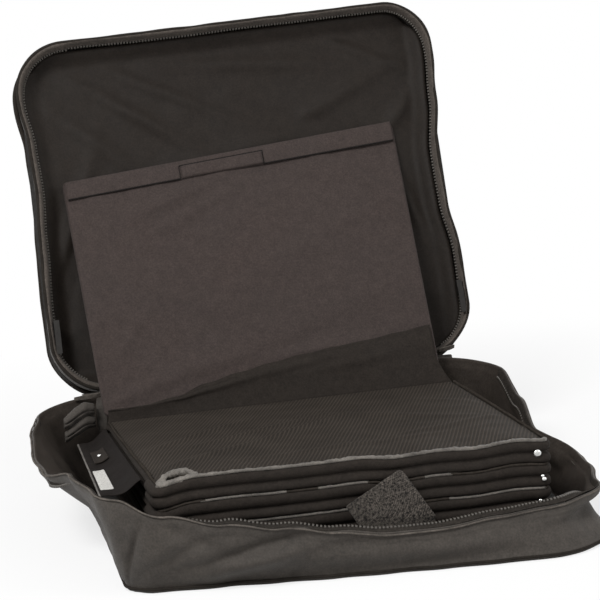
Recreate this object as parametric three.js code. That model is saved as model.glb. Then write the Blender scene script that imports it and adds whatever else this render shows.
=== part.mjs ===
// A fabric brochure rack, folded flat in its open zip bag.
// Millimetres, +Z up, X across the bag, the bag's front towards -Y, its floor's underside at Z = 0.
import * as THREE from "three";

// Driving sizes of the folded rack.
const RACK_WIDTH = 312;
const RACK_DEPTH = 272;
const BOARD_COUNT = 8;
const BOARD_THICKNESS = 6.4;
const FRONT_PITCH = 9.3;
const BACK_PITCH = 8;
const BOARD_CORNER_RADIUS = 9;
const HEADER_OVERHANG = 1;
const HEADER_WIDTH = RACK_WIDTH + 2 * HEADER_OVERHANG;
const HEADER_LENGTH = 243;
const HEADER_THICKNESS = 5;
const HEADER_SKEW = THREE.MathUtils.degToRad(3);

// Driving sizes of the bag, which is cut with this much room round the rack.
const SIDE_ROOM = 44;
const FRONT_ROOM = 26;
const BACK_ROOM = 42;
const BAG_WIDTH = RACK_WIDTH + 2 * SIDE_ROOM;
const BAG_DEPTH = FRONT_ROOM + RACK_DEPTH + BACK_ROOM;
const CORNER_RADIUS = 45;
const BACK_WALL_HEIGHT = 86;
const LID_SETBACK = 2;
const LID_LENGTH = BAG_DEPTH - LID_SETBACK;
const LID_DEPTH = 30;
const LID_LEAN = THREE.MathUtils.degToRad(20);
const RACK_FRONT_Y = FRONT_ROOM - BAG_DEPTH / 2;

// Sheet thicknesses and the clearance between any two pieces.
const GAP = 0.3;
const WALL_THICKNESS = 3;
const STIFFENER = 2.5;
const LINING = 1.2;
const WEBBING = 1.6;
const THIN_FABRIC = 1.2;

// Zip, piping and small trim.
const TAPE_WIDTH = 10;
const TAPE_THICKNESS = 1.2;
const TEETH_SIZE = 2.4;
const PIPING_RADIUS = 2.3;
const BINDING_WIDTH = 9;
const BINDING_THICKNESS = 2;
const MESH_THICKNESS = 0.8;

// Heights of the slack rim, from the fabric at full height down to the sag of the front wall.
// Each table runs round the bag: left wall back to front, front wall left to right, right wall front to back.
const SIDE_END_HEIGHT = 80;
const LEFT_RIM_SHARES = [1, 0.95, 0.86, 0.85, 0.96, 0.93];
const FRONT_RIM_SHARES = [0.93, 0.97, 0.83, 0.65, 0.55, 0.47, 0.41, 0.4, 0.45, 0.51, 0.55, 0.47];
const RIGHT_RIM_SHARES = [0.47, 0.42, 0.45, 0.56, 0.76, 1];

// How far the rim leans out of the floor's outline, and how far the wall bellies at half height.
const RIM_FLARE = 26;
const LEFT_FLARE_SHARES = [0.2, 0.85, 0.96, 0.77, 0.12, -0.38];
const FRONT_FLARE_SHARES = [-0.38, -0.45, -0.2, 0.1, 0.25, 0.35, 0.4, 0.3, 0.15, 0, -0.3, -0.2];
const RIGHT_FLARE_SHARES = [-0.2, 0.3, 0.7, 0.45, -0.25, 0.2];
const BACK_FLARE_SHARES = [0.2, 0, 0, 0, 0, 0, 0.2];
const WALL_BELLY = 7;
const LEFT_BELLY_SHARES = [0, -0.5, -0.4, 0.2, 0.4, 0.3];
const FRONT_BELLY_SHARES = [0.3, 0.5, 0.7, 1, 1, 1, 1, 1, 0.9, 0.7, 0.5, 0.3];
const RIGHT_BELLY_SHARES = [0.3, 0.5, 0.4, 0.2, 0.1, 0];
const BACK_BELLY_SHARES = [0, 0];

// How far the wall's foot stands out of the floor's straight outline: the load has slumped to the right front.
const FOOT_SHIFT = 16;
const LEFT_FOOT_SHARES = [0, -0.75, -1.2, -1.4, -1.5, -1.5];
const FRONT_FOOT_SHARES = [-1.5, -1.38, -1.22, -0.94, -0.56, -0.19, 0.13, 0.44, 0.69, 0.7, 0, -0.4];
const RIGHT_FOOT_SHARES = [-0.4, -0.3, -0.1, 0, 0, 0];
const BACK_FOOT_SHARES = [0, 0];

// How finely curves are cut.
const CORNER_STEPS = 7;
const SIDE_STEPS = 10;
const FRONT_STEPS = 14;
const WALL_ROWS = 6;
const TUBE_SIDES = 6;
const PLATE_CORNER_STEPS = 5;
const EDGE_ROUND_STEPS = 2;

// Colours, as dull nylon, mesh, tape and metal look in the photo.
const LOOKS = {
  nylon: { color: 0x2b2723, roughness: 0.85, metalness: 0 },
  lining: { color: 0x2e2826, roughness: 0.8, metalness: 0 },
  header: { color: 0x2f2524, roughness: 0.9, metalness: 0 },
  mesh: { color: 0x33322f, roughness: 0.75, metalness: 0 },
  binding: { color: 0x5a5956, roughness: 0.45, metalness: 0 },
  piping: { color: 0x191715, roughness: 0.6, metalness: 0 },
  tape: { color: 0x3a3733, roughness: 0.7, metalness: 0 },
  teeth: { color: 0x1c1a18, roughness: 0.4, metalness: 0 },
  card: { color: 0x1d1c1b, roughness: 0.7, metalness: 0 },
  loops: { color: 0x24211f, roughness: 1, metalness: 0 },
  label: { color: 0xd8d8d6, roughness: 0.7, metalness: 0 },
  steel: { color: 0xc9c9c8, roughness: 0.3, metalness: 1 },
};

const rack = new THREE.Group();
rack.name = "brochure_rack_in_bag";

function add(name, geometry, look) {
  const mesh = new THREE.Mesh(geometry, new THREE.MeshStandardMaterial(LOOKS[look]));
  mesh.name = name;
  rack.add(mesh);
}

// ---- Shapes shared by many pieces ----

// Reads a table of shares at t from 0 to 1, easing between its entries.
function readShares(shares, t) {
  const place = THREE.MathUtils.clamp(t, 0, 1) * (shares.length - 1);
  const low = Math.min(Math.floor(place), shares.length - 2);
  const eased = (1 - Math.cos((place - low) * Math.PI)) / 2;
  return THREE.MathUtils.lerp(shares[low], shares[low + 1], eased);
}

// Joins sections into one closed body. Each section is two rails of points, which face each other.
function loft(sections, isRing = false) {
  const rail = sections[0].outer.length;
  const loop = 2 * rail;
  const points = sections.flatMap(({ outer, inner }) => [...outer, ...inner.slice().reverse()]);
  const faces = [];
  const quad = (a, b, c, d) => faces.push(a, b, c, a, c, d);
  const spans = isRing ? sections.length : sections.length - 1;
  for (let i = 0; i < spans; i++) {
    const here = i * loop;
    const next = ((i + 1) % sections.length) * loop;
    for (let k = 0; k < loop; k++) {
      const turn = (k + 1) % loop;
      quad(here + k, here + turn, next + turn, next + k);
    }
  }
  if (!isRing) {
    const last = (sections.length - 1) * loop;
    for (let j = 0; j + 1 < rail; j++) {
      quad(j + 1, j, loop - 1 - j, loop - 2 - j);
      quad(last + j, last + j + 1, last + loop - 2 - j, last + loop - 1 - j);
    }
  }
  return outwardFacing(points, faces);
}

// Turns every face round if the body came out with its faces inward.
function outwardFacing(points, faces) {
  let volume = 0;
  for (let i = 0; i < faces.length; i += 3) {
    const [a, b, c] = [points[faces[i]], points[faces[i + 1]], points[faces[i + 2]]];
    volume += a.dot(new THREE.Vector3().crossVectors(b, c));
  }
  if (volume < 0) faces.reverse();
  const geometry = new THREE.BufferGeometry().setFromPoints(points);
  geometry.setIndex(faces);
  geometry.computeVertexNormals();
  return geometry;
}

// The two rails of a round section. toPoint places a pair of offsets from the centre.
function roundSection(radius, toPoint) {
  const half = TUBE_SIDES / 2;
  const place = (j, side) => {
    const angle = ((j + 1 / 2) / half) * Math.PI;
    return toPoint(-radius * Math.cos(angle), side * radius * Math.sin(angle));
  };
  const steps = [...Array(half).keys()];
  return { outer: steps.map((j) => place(j, 1)), inner: steps.map((j) => place(j, -1)) };
}

function roundedRectangle(width, depth, radius, centreY = 0) {
  const shape = new THREE.Shape();
  const [x, y] = [width / 2 - radius, depth / 2 - radius];
  shape.absarc(x, centreY + y, radius, 0, Math.PI / 2);
  shape.absarc(-x, centreY + y, radius, Math.PI / 2, Math.PI);
  shape.absarc(-x, centreY - y, radius, Math.PI, (3 * Math.PI) / 2);
  shape.absarc(x, centreY - y, radius, (3 * Math.PI) / 2, 2 * Math.PI);
  return shape;
}

function polygon(points) {
  return new THREE.Shape(points.map(([x, y]) => new THREE.Vector2(x, y)));
}

// A flat sheet between two heights.
function plate(shape, bottom, thickness) {
  const options = { depth: thickness, bevelEnabled: false, curveSegments: PLATE_CORNER_STEPS };
  return new THREE.ExtrudeGeometry(shape, options).translate(0, 0, bottom);
}

// A pad with a fully rounded edge, its middle plane at height 0.
function roundedPad(width, depth, cornerRadius, thickness) {
  const edge = thickness / 2 - GAP / 2;
  const core = thickness - 2 * edge;
  const shape = roundedRectangle(width - 2 * edge, depth - 2 * edge, cornerRadius - edge);
  const options = {
    depth: core,
    bevelEnabled: true,
    bevelSize: edge,
    bevelThickness: edge,
    bevelSegments: EDGE_ROUND_STEPS,
    curveSegments: PLATE_CORNER_STEPS,
  };
  return new THREE.ExtrudeGeometry(shape, options).translate(0, 0, -core / 2);
}

// ---- Outlines walked as stations: a place, its outward direction and its share of the walk ----

function straightWalk(from, to, outward, steps) {
  return [...Array(steps + 1).keys()].map((i) => ({
    at: from.clone().lerp(to, i / steps),
    outward: outward.clone(),
  }));
}

function cornerWalk(centre, radius, startAngle, endAngle, steps) {
  return [...Array(steps + 1).keys()].map((i) => {
    const angle = THREE.MathUtils.lerp(startAngle, endAngle, i / steps);
    const outward = new THREE.Vector2(Math.cos(angle), Math.sin(angle));
    return { at: centre.clone().addScaledVector(outward, radius), outward };
  });
}

// Drops stations that repeat a place, then gives each its share of the length.
function joinWalks(...walks) {
  const copies = walks.flat().map((station) => ({ ...station }));
  const stations = copies.filter((s, i) => i === 0 || s.at.distanceTo(copies[i - 1].at) > GAP / 2);
  let length = 0;
  stations.forEach((station, i) => {
    if (i > 0) length += station.at.distanceTo(stations[i - 1].at);
    station.walked = length;
  });
  stations.forEach((station) => (station.t = station.walked / length));
  return stations;
}

const vector = (x, y) => new THREE.Vector2(x, y);
const LEFT = vector(-1, 0);
const RIGHT = vector(1, 0);
const FRONT = vector(0, -1);
const BACK = vector(0, 1);
const QUARTER = Math.PI / 2;

// The four sides of a rounded rectangle, each corner walked with the front or the back.
// A slack outline takes many stations along its straights, a taut one only their ends.
const TAUT = { side: 1, front: 1 };
const SLACK = { side: SIDE_STEPS, front: FRONT_STEPS };

function sideWalks(width, depth, radius, centreY, seam, steps) {
  const [x, y] = [width / 2, depth / 2];
  const [flatX, flatY] = [x - radius, y - radius];
  const at = (px, py) => vector(px, centreY + py);
  const corner = (px, py, from, to) => cornerWalk(at(px, py), radius, from, to, CORNER_STEPS);
  const left = straightWalk(at(-x, flatY - seam), at(-x, -flatY + seam), LEFT, steps.side);
  const right = straightWalk(at(x, -flatY + seam), at(x, flatY - seam), RIGHT, steps.side);
  const front = joinWalks(
    corner(-flatX, -flatY, 2 * QUARTER, 3 * QUARTER),
    straightWalk(at(-flatX, -y), at(flatX, -y), FRONT, steps.front),
    corner(flatX, -flatY, -QUARTER, 0),
  );
  const back = joinWalks(
    corner(flatX, flatY, 0, QUARTER),
    straightWalk(at(flatX, y), at(-flatX, y), BACK, steps.front),
    corner(-flatX, flatY, QUARTER, 2 * QUARTER),
  );
  return { left: joinWalks(left), front, right: joinWalks(right), back };
}

// The whole way round, ending just before the start.
const closedWalk = ({ left, front, right, back }) => joinWalks(left, front, right, back.slice(0, -1));

// ---- The bag's base ----

const FLOOR_TOP = WALL_THICKNESS;
const WALL_FOOT = FLOOR_TOP + GAP;
const STIFFENER_TOP = WALL_FOOT + STIFFENER;

const baseSides = sideWalks(BAG_WIDTH, BAG_DEPTH, CORNER_RADIUS, 0, GAP, SLACK);

function shapeWall(stations, heights, flares, bellies, feet, fullHeight = SIDE_END_HEIGHT) {
  for (const station of stations) {
    station.height = fullHeight * readShares(heights, station.t);
    station.flare = RIM_FLARE * readShares(flares, station.t);
    station.belly = WALL_BELLY * readShares(bellies, station.t);
    station.foot = FOOT_SHIFT * readShares(feet, station.t);
  }
}

const BACK_END_SHARE = SIDE_END_HEIGHT / BACK_WALL_HEIGHT;
const BACK_RIM_SHARES = [BACK_END_SHARE, 1, 1, 1, 1, 1, BACK_END_SHARE];
shapeWall(baseSides.left, LEFT_RIM_SHARES, LEFT_FLARE_SHARES, LEFT_BELLY_SHARES, LEFT_FOOT_SHARES);
shapeWall(baseSides.front, FRONT_RIM_SHARES, FRONT_FLARE_SHARES, FRONT_BELLY_SHARES, FRONT_FOOT_SHARES);
shapeWall(baseSides.right, RIGHT_RIM_SHARES, RIGHT_FLARE_SHARES, RIGHT_BELLY_SHARES, RIGHT_FOOT_SHARES);
const BACK_SHARES = [BACK_RIM_SHARES, BACK_FLARE_SHARES, BACK_BELLY_SHARES, BACK_FOOT_SHARES];
shapeWall(baseSides.back, ...BACK_SHARES, BACK_WALL_HEIGHT);

// A point on the slack wall, by its share of the height and its depth behind the outer face.
function wallPoint({ at, outward, height, flare, belly, foot }, share, depth) {
  const bulge = Math.sin(Math.PI * share) ** 2 * belly;
  const out = foot * (1 - share) ** 2 + flare * share ** 2 + bulge - depth;
  const plan = at.clone().addScaledVector(outward, out);
  return new THREE.Vector3(plan.x, plan.y, THREE.MathUtils.lerp(WALL_FOOT, height, share));
}

// A sheet on the wall between two shares of its height.
function wallSheet(stations, shares, depth, thickness) {
  return loft(
    stations.map((station) => ({
      outer: shares.map((share) => wallPoint(station, share, depth)),
      inner: shares.map((share) => wallPoint(station, share, depth + thickness)),
    })),
  );
}

const sharesBetween = (from, to, rows) =>
  [...Array(rows + 1).keys()].map((i) => THREE.MathUtils.lerp(from, to, i / rows));

// A rectangular strip that follows the rim: how deep behind the wall's face, and how high above its top.
function rimStrip(stations, depth, width, lift, thickness) {
  return loft(
    stations.map((station) => {
      const [face, edge] = [wallPoint(station, 1, depth), wallPoint(station, 1, depth + width)];
      const raised = (point, z) => point.clone().setZ(point.z + z);
      return {
        outer: [raised(face, lift), raised(face, lift + thickness)],
        inner: [raised(edge, lift), raised(edge, lift + thickness)],
      };
    }),
  );
}

// The floor is cut to the walls' feet.
const footRing = closedWalk(baseSides);
const footPlan = ({ at, outward, foot }, inset) => at.clone().addScaledVector(outward, foot - inset);
const footOutline = (inset) => polygon(footRing.map((station) => footPlan(station, inset).toArray()));

function buildFloor() {
  add("bag_floor", plate(footOutline(0), 0, FLOOR_TOP), "nylon");
  const boardInset = WALL_THICKNESS + WALL_BELLY / 2 + GAP;
  add("floor_board", plate(footOutline(boardInset), WALL_FOOT, STIFFENER), "card");
  const offset = 2 * GAP + PIPING_RADIUS;
  const sections = footRing.map((station) =>
    roundSection(PIPING_RADIUS, (out, up) => {
      const plan = footPlan(station, -offset - out);
      return new THREE.Vector3(plan.x, plan.y, PIPING_RADIUS + up);
    }),
  );
  add("floor_piping", loft(sections, true), "piping");
}

function buildWalls() {
  const shares = sharesBetween(0, 1, WALL_ROWS);
  for (const side of ["left", "front", "right", "back"]) {
    add(`wall_${side}`, wallSheet(baseSides[side], shares, 0, WALL_THICKNESS), "nylon");
  }
}

// The zip's base half lies on the rim, with its teeth along the inner edge.
const TEETH_DROP = (TEETH_SIZE - TAPE_THICKNESS) / 2;

function buildBaseZip() {
  const rim = [baseSides.left, baseSides.front, baseSides.right].flat();
  add("base_zip_tape", rimStrip(rim, 0, TAPE_WIDTH, GAP, TAPE_THICKNESS), "tape");
  const teeth = rimStrip(rim, TAPE_WIDTH + GAP, TEETH_SIZE, GAP - TEETH_DROP, TEETH_SIZE);
  add("base_zip_teeth", teeth, "teeth");
}

// A slack wall is cut into flats. Trim that crosses their edges stands off by a little more than the gap.
const FLAT_CLEARANCE = 3 * GAP;

// A point on the wall as it is cut into flats, which a curve through the same stations would leave.
function onFlats(stations, t, share, depth) {
  const next = Math.max(1, stations.findIndex((station) => station.t >= t));
  const [from, to] = [stations[next - 1], stations[next]];
  const row = Math.min(Math.floor(share * WALL_ROWS), WALL_ROWS - 1);
  const [low, high] = [row / WALL_ROWS, (row + 1) / WALL_ROWS];
  const upFlat = (station) =>
    wallPoint(station, low, depth).lerp(wallPoint(station, high, depth), (share - low) / (high - low));
  return upFlat(from).lerp(upFlat(to), (t - from.t) / (to.t - from.t));
}

// ---- The hook and loop strap inside the front rim ----

const STRAP_SETBACK = 9;
const STRAP_HINGE = { y: STRAP_SETBACK - BAG_DEPTH / 2, z: SIDE_END_HEIGHT / 2 };
const STRAP_LEAN = THREE.MathUtils.degToRad(13);
const STRAP_THICKNESS = 2.5;
const STRAP_SIDE = 51;
const STRAP_TURN = THREE.MathUtils.degToRad(27);
const STRAP_CENTRE = { x: 26.5, up: -0.4 };
const STRAP_ROOT_SPAN = [-1, 54];
const STRAP_ROOT_FOOT = 24;

// The square end of the strap, turned on its corner and cut level at the fold.
function buildStrap() {
  const reach = STRAP_SIDE / 2;
  const corners = [[-1, -1], [1, -1], [1, 1], [-1, 1]].map(([sx, sy]) => {
    const corner = vector(sx * reach, sy * reach).rotateAround(vector(0, 0), STRAP_TURN);
    return [STRAP_CENTRE.x + corner.x, STRAP_CENTRE.up + corner.y];
  });
  const tab = plate(polygon(cutLevel(corners, GAP / 2)), -STRAP_THICKNESS, STRAP_THICKNESS);
  tab.rotateX(QUARTER - STRAP_LEAN).translate(0, STRAP_HINGE.y, STRAP_HINGE.z);
  add("strap_tab", tab, "loops");

  const frontLength = baseSides.front.at(-1).walked;
  const foldTop = STRAP_HINGE.z - STRAP_THICKNESS * Math.tan(STRAP_LEAN);
  const sections = sharesBetween(STRAP_ROOT_SPAN[0], STRAP_ROOT_SPAN[1], 2).map((x) => {
    const t = 1 / 2 + x / frontLength;
    const height = onFlats(baseSides.front, t, 1, 0).z;
    const onWall = (z) => {
      const share = (z - WALL_FOOT) / (height - WALL_FOOT);
      return onFlats(baseSides.front, t, share, WALL_THICKNESS + FLAT_CLEARANCE);
    };
    const point = (y, z) => new THREE.Vector3(x, y, z);
    const [front, back] = [STRAP_HINGE.y, STRAP_HINGE.y + WEBBING];
    const shelfTop = STRAP_ROOT_FOOT + WEBBING;
    return {
      outer: [onWall(shelfTop), point(front, shelfTop), point(front, foldTop)],
      inner: [onWall(STRAP_ROOT_FOOT), point(back, STRAP_ROOT_FOOT), point(back, foldTop)],
    };
  });
  add("strap_root", loft(sections), "loops");
}

// Keeps the part of a convex outline above a level.
function cutLevel(outline, level) {
  const kept = [];
  outline.forEach(([x, y], i) => {
    const [nextX, nextY] = outline[(i + 1) % outline.length];
    if (y >= level) kept.push([x, y]);
    if (y >= level !== nextY >= level) kept.push([x + ((nextX - x) * (level - y)) / (nextY - y), level]);
  });
  return kept;
}

// ---- The lid, built flat in its own frame: X across, Y from the hinge to the free edge, Z into the tray ----

const LID_HINGE = { y: BAG_DEPTH / 2, z: BACK_WALL_HEIGHT + 2 };
const LID_START = 3;
const LID_SPAN = LID_LENGTH - LID_START;
const LID_MIDDLE = LID_START + LID_SPAN / 2;

// Stands a frame up at a lean back from upright: its Y goes up the slope, its Z forward out of it.
function leanFrame({ y, z }, lean) {
  const across = new THREE.Vector3(1, 0, 0);
  const up = new THREE.Vector3(0, Math.sin(lean), Math.cos(lean));
  const forward = new THREE.Vector3().crossVectors(across, up);
  return new THREE.Matrix4().makeBasis(across, up, forward).setPosition(0, y, z);
}

const lidFrame = leanFrame(LID_HINGE, LID_LEAN);
const lidSides = sideWalks(BAG_WIDTH, LID_SPAN, CORNER_RADIUS, LID_MIDDLE, 0, TAUT);

// In the walk's names the lid's hinge side is the front, and its free edge the back.
const lidRing = closedWalk(lidSides);
const lidZipWalk = joinWalks(lidSides.right, lidSides.back, lidSides.left);

const PANEL_BACK = -LID_DEPTH;
const PANEL_FRONT = PANEL_BACK + WALL_THICKNESS;
const LID_BOARD_BACK = PANEL_FRONT + GAP;
const LINING_BACK = LID_BOARD_BACK + STIFFENER + GAP;
const LINING_FRONT = LINING_BACK + LINING;

const planPoint = ({ at, outward }, depth, z) => {
  const plan = at.clone().addScaledVector(outward, -depth);
  return new THREE.Vector3(plan.x, plan.y, z);
};

// A rectangular strip round the lid: its depth behind the outline, its width, and its two levels.
function lidStrip(stations, depth, width, low, high, isRing) {
  const sections = stations.map((station) => ({
    outer: [planPoint(station, depth, low), planPoint(station, depth, high)],
    inner: [planPoint(station, depth + width, low), planPoint(station, depth + width, high)],
  }));
  return loft(sections, isRing);
}

const lidOutline = (inset) =>
  roundedRectangle(BAG_WIDTH - 2 * inset, LID_SPAN - 2 * inset, CORNER_RADIUS - inset, LID_MIDDLE);

function buildLid() {
  const stand = (geometry) => geometry.applyMatrix4(lidFrame);
  const inset = WALL_THICKNESS + 2 * GAP;
  const tapeBack = -GAP - TAPE_THICKNESS;
  const gusset = lidStrip(lidRing, 0, WALL_THICKNESS, PANEL_FRONT + GAP, tapeBack - GAP, true);
  add("lid_panel", stand(plate(lidOutline(0), PANEL_BACK, WALL_THICKNESS)), "nylon");
  add("lid_board", stand(plate(lidOutline(inset), LID_BOARD_BACK, STIFFENER)), "card");
  add("lid_lining", stand(plate(lidOutline(inset), LINING_BACK, LINING)), "lining");
  add("lid_gusset", stand(gusset), "nylon");

  const pipingCentre = PANEL_FRONT + GAP / 2;
  const piping = lidRing.map((station) =>
    roundSection(PIPING_RADIUS, (out, up) => planPoint(station, -GAP - PIPING_RADIUS - out, pipingCentre + up)),
  );
  add("lid_piping", stand(loft(piping, true)), "piping");

  const tape = lidStrip(lidZipWalk, 0, TAPE_WIDTH, tapeBack, -GAP, false);
  add("lid_zip_tape", stand(tape), "tape");
  const [teethBack, teethFront] = [tapeBack - TEETH_DROP, TEETH_DROP - GAP];
  const teeth = lidStrip(lidZipWalk, TAPE_WIDTH + GAP, TEETH_SIZE, teethBack, teethFront, false);
  add("lid_zip_teeth", stand(teeth), "teeth");
}

// ---- The two zip sliders, parked low on the lid's half of the zip ----

const SLIDER_PLACE = 62;
const SLIDER_LENGTH = 14;
const SLIDER_WALL = 1.6;
const SLIDER_CLEARANCE = 0.4;
const PULL_LENGTH = 24;
const PULL_WIDTH = 5;
const PULL_THICKNESS = 1.2;

const TEETH_INNER = TAPE_WIDTH + GAP + TEETH_SIZE;
const SLOT = {
  mouth: TAPE_WIDTH - GAP,
  end: TEETH_INNER + SLIDER_CLEARANCE,
  back: -GAP - TAPE_THICKNESS - TEETH_DROP - SLIDER_CLEARANCE,
  front: TEETH_DROP - GAP + SLIDER_CLEARANCE,
};
const PULL_AXIS = SLOT.front + SLIDER_WALL + GAP + PULL_THICKNESS / 2;

// A channel round the teeth, open towards the tape, with a flat pull hung on its front.
function buildSlider(name, side) {
  const x = (depth) => side * (BAG_WIDTH / 2 - depth);
  const sections = [-1, 1].map((end) => {
    const y = SLIDER_PLACE + (end * SLIDER_LENGTH) / 2;
    const point = (depth, z) => new THREE.Vector3(x(depth), y, z);
    return {
      outer: [
        point(SLOT.mouth, SLOT.front + SLIDER_WALL),
        point(SLOT.end + SLIDER_WALL, SLOT.front + SLIDER_WALL),
        point(SLOT.end + SLIDER_WALL, SLOT.back - SLIDER_WALL),
        point(SLOT.mouth, SLOT.back - SLIDER_WALL),
      ],
      inner: [
        point(SLOT.mouth, SLOT.front),
        point(SLOT.end, SLOT.front),
        point(SLOT.end, SLOT.back),
        point(SLOT.mouth, SLOT.back),
      ],
    };
  });
  add(`zip_slider_${name}`, loft(sections).applyMatrix4(lidFrame), "teeth");

  const middle = (SLOT.mouth + SLOT.end) / 2 + SLIDER_WALL / 2;
  const pull = roundedRectangle(PULL_WIDTH, PULL_LENGTH, PULL_WIDTH / 4);
  const plateGeometry = plate(pull, PULL_AXIS - PULL_THICKNESS / 2, PULL_THICKNESS);
  plateGeometry.translate(x(middle), SLIDER_PLACE - PULL_LENGTH / 2, 0);
  add(`zip_pull_${name}`, plateGeometry.applyMatrix4(lidFrame), "teeth");
}

// ---- The fabric hinge between the back wall and the lid ----

const HINGE_HALF_WIDTH = BAG_WIDTH / 2 - CORNER_RADIUS;
const HINGE_DROP = 18;
const HINGE_GRIP = 15;

function buildBagHinge() {
  const wallFace = BAG_DEPTH / 2 + GAP;
  const onLid = (up, into) => new THREE.Vector3(0, up, into).applyMatrix4(lidFrame);
  const lidFoot = LID_START - GAP;
  const tapeRoom = GAP + TAPE_THICKNESS;
  const sections = [-1, 1].map((side) => {
    const place = ({ y, z }) => new THREE.Vector3(side * HINGE_HALF_WIDTH, y, z);
    const low = BACK_WALL_HEIGHT - HINGE_DROP;
    const bend = BACK_WALL_HEIGHT - 2 * THIN_FABRIC;
    const [near, far] = [lidFoot, lidFoot - THIN_FABRIC];
    return {
      inner: [{ y: wallFace, z: low }, { y: wallFace, z: bend }, onLid(near, -tapeRoom), onLid(near, -HINGE_GRIP)]
        .map(place),
      outer: [{ y: wallFace + THIN_FABRIC, z: low }, { y: wallFace + THIN_FABRIC, z: bend },
        onLid(far, -tapeRoom - THIN_FABRIC), onLid(far, -HINGE_GRIP)].map(place),
    };
  });
  add("bag_hinge_fabric", loft(sections), "nylon");
}

// ---- The folded rack: eight padded boards, joined in turn along the front and the back ----

const RACK_BACK_Y = RACK_FRONT_Y + RACK_DEPTH;
const RACK_MIDDLE_Y = (RACK_FRONT_Y + RACK_BACK_Y) / 2;
const FIRST_MIDDLE_Z = STIFFENER_TOP + GAP + BOARD_THICKNESS / 2;
const HALF_BOARD = BOARD_THICKNESS / 2;

// The middle plane of a board: the stack is a wedge, thicker at the front where the bindings lie.
const frontHeight = (board) => FIRST_MIDDLE_Z + (board - 1) * FRONT_PITCH;
const backHeight = (board) => FIRST_MIDDLE_Z + (board - 1) * BACK_PITCH;
const boardTilt = (board) => Math.atan2(frontHeight(board) - backHeight(board), RACK_DEPTH);
const middleHeight = (board, y) =>
  THREE.MathUtils.mapLinear(y, RACK_FRONT_Y, RACK_BACK_Y, frontHeight(board), backHeight(board));

function onBoard(geometry, board) {
  geometry.rotateX(-boardTilt(board));
  return geometry.translate(0, RACK_MIDDLE_Y, middleHeight(board, RACK_MIDDLE_Y));
}

function buildBoards() {
  for (let board = 1; board <= BOARD_COUNT; board++) {
    const pad = roundedPad(RACK_WIDTH, RACK_DEPTH, BOARD_CORNER_RADIUS, BOARD_THICKNESS);
    add(`rack_board_${board}`, onBoard(pad, board), "nylon");
  }
}

// Each second board carries a mesh pocket, held by a binding round its front and its ends.
const BINDING_SET_BACK = 3;

function buildPocket(board) {
  const foot = HALF_BOARD + GAP;
  const [x, y] = [RACK_WIDTH / 2 - BINDING_SET_BACK, RACK_DEPTH / 2 - BINDING_SET_BACK];
  const [innerX, innerY, cut] = [x - BINDING_WIDTH, y - BINDING_WIDTH, BOARD_CORNER_RADIUS / 2];
  const stop = (outX, outY, inX, inY, thickness) => ({
    outer: [new THREE.Vector3(outX, outY, foot), new THREE.Vector3(outX, outY, foot + thickness)],
    inner: [new THREE.Vector3(inX, inY, foot), new THREE.Vector3(inX, inY, foot + thickness)],
  });
  const frame = loft([
    stop(-x, y, -innerX, y, MESH_THICKNESS),
    stop(-x, cut - y, -innerX, cut - innerY, BINDING_THICKNESS),
    stop(cut - x, -y, cut - innerX, -innerY, BINDING_THICKNESS),
    stop(x - cut, -y, innerX - cut, -innerY, BINDING_THICKNESS),
    stop(x, cut - y, innerX, cut - innerY, BINDING_THICKNESS),
    stop(x, y, innerX, y, MESH_THICKNESS),
  ]);
  add(`pocket_binding_${board}`, onBoard(frame, board), "binding");
  const [meshX, meshFront, meshBack] = [innerX - GAP, -innerY + GAP, y];
  const net = polygon([
    [-meshX, meshFront + cut], [cut - meshX, meshFront], [meshX - cut, meshFront], [meshX, meshFront + cut],
    [meshX, meshBack], [-meshX, meshBack],
  ]);
  add(`mesh_pocket_${board}`, onBoard(plate(net, foot, MESH_THICKNESS), board), "mesh");
}

// Points round two rounded edges, one above the other, at a reach from each edge's centre.
const RIDGE_SWEEP = THREE.MathUtils.degToRad(65);
const LOW_EDGE_SWEEP = THREE.MathUtils.degToRad(40);
const RIDGE_STEPS = 3;

// Flats round an edge keep their middles, not their corners, at the wanted reach.
const RIDGE_SPREAD = 1 / Math.cos(RIDGE_SWEEP / RIDGE_STEPS);

function ridgePoints(reach, lowHeight, highHeight, toPoint) {
  const sweep = (height, start) =>
    sharesBetween(start, RIDGE_SWEEP, RIDGE_STEPS).map((angle) =>
      toPoint(reach * Math.cos(angle) - HALF_BOARD, height + reach * Math.sin(angle)),
    );
  return [...sweep(lowHeight, -LOW_EDGE_SWEEP), ...sweep(highHeight, -RIDGE_SWEEP)];
}

function ridgeSection(station, lowBoard) {
  const low = middleHeight(lowBoard, station.at.y);
  const high = middleHeight(lowBoard + 1, station.at.y);
  const toPoint = (out, z) => planPoint(station, -out, z);
  return {
    outer: ridgePoints((HALF_BOARD + GAP + THIN_FABRIC) * RIDGE_SPREAD, low, high, toPoint),
    inner: ridgePoints((HALF_BOARD + GAP) * RIDGE_SPREAD, low, high, toPoint),
  };
}

// The front wrap joins a pair of boards along the front and turns round both corners.
const WRAP_RETURN = 34;

function buildFrontWrap(unit) {
  const lowBoard = 2 * unit - 1;
  const sides = sideWalks(RACK_WIDTH, RACK_DEPTH, BOARD_CORNER_RADIUS, RACK_MIDDLE_Y, 0, TAUT);
  const x = RACK_WIDTH / 2;
  const [end, start] = [RACK_FRONT_Y + WRAP_RETURN, RACK_FRONT_Y + BOARD_CORNER_RADIUS];
  const walk = joinWalks(
    straightWalk(vector(-x, end), vector(-x, start), LEFT, 2),
    sides.front,
    straightWalk(vector(x, start), vector(x, end), RIGHT, 2),
  );
  add(`front_wrap_${unit}`, loft(walk.map((station) => ridgeSection(station, lowBoard))), "mesh");
}

// The back strip joins a board to the one above, between two pairs.
const STRIP_MARGIN = 16;

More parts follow.
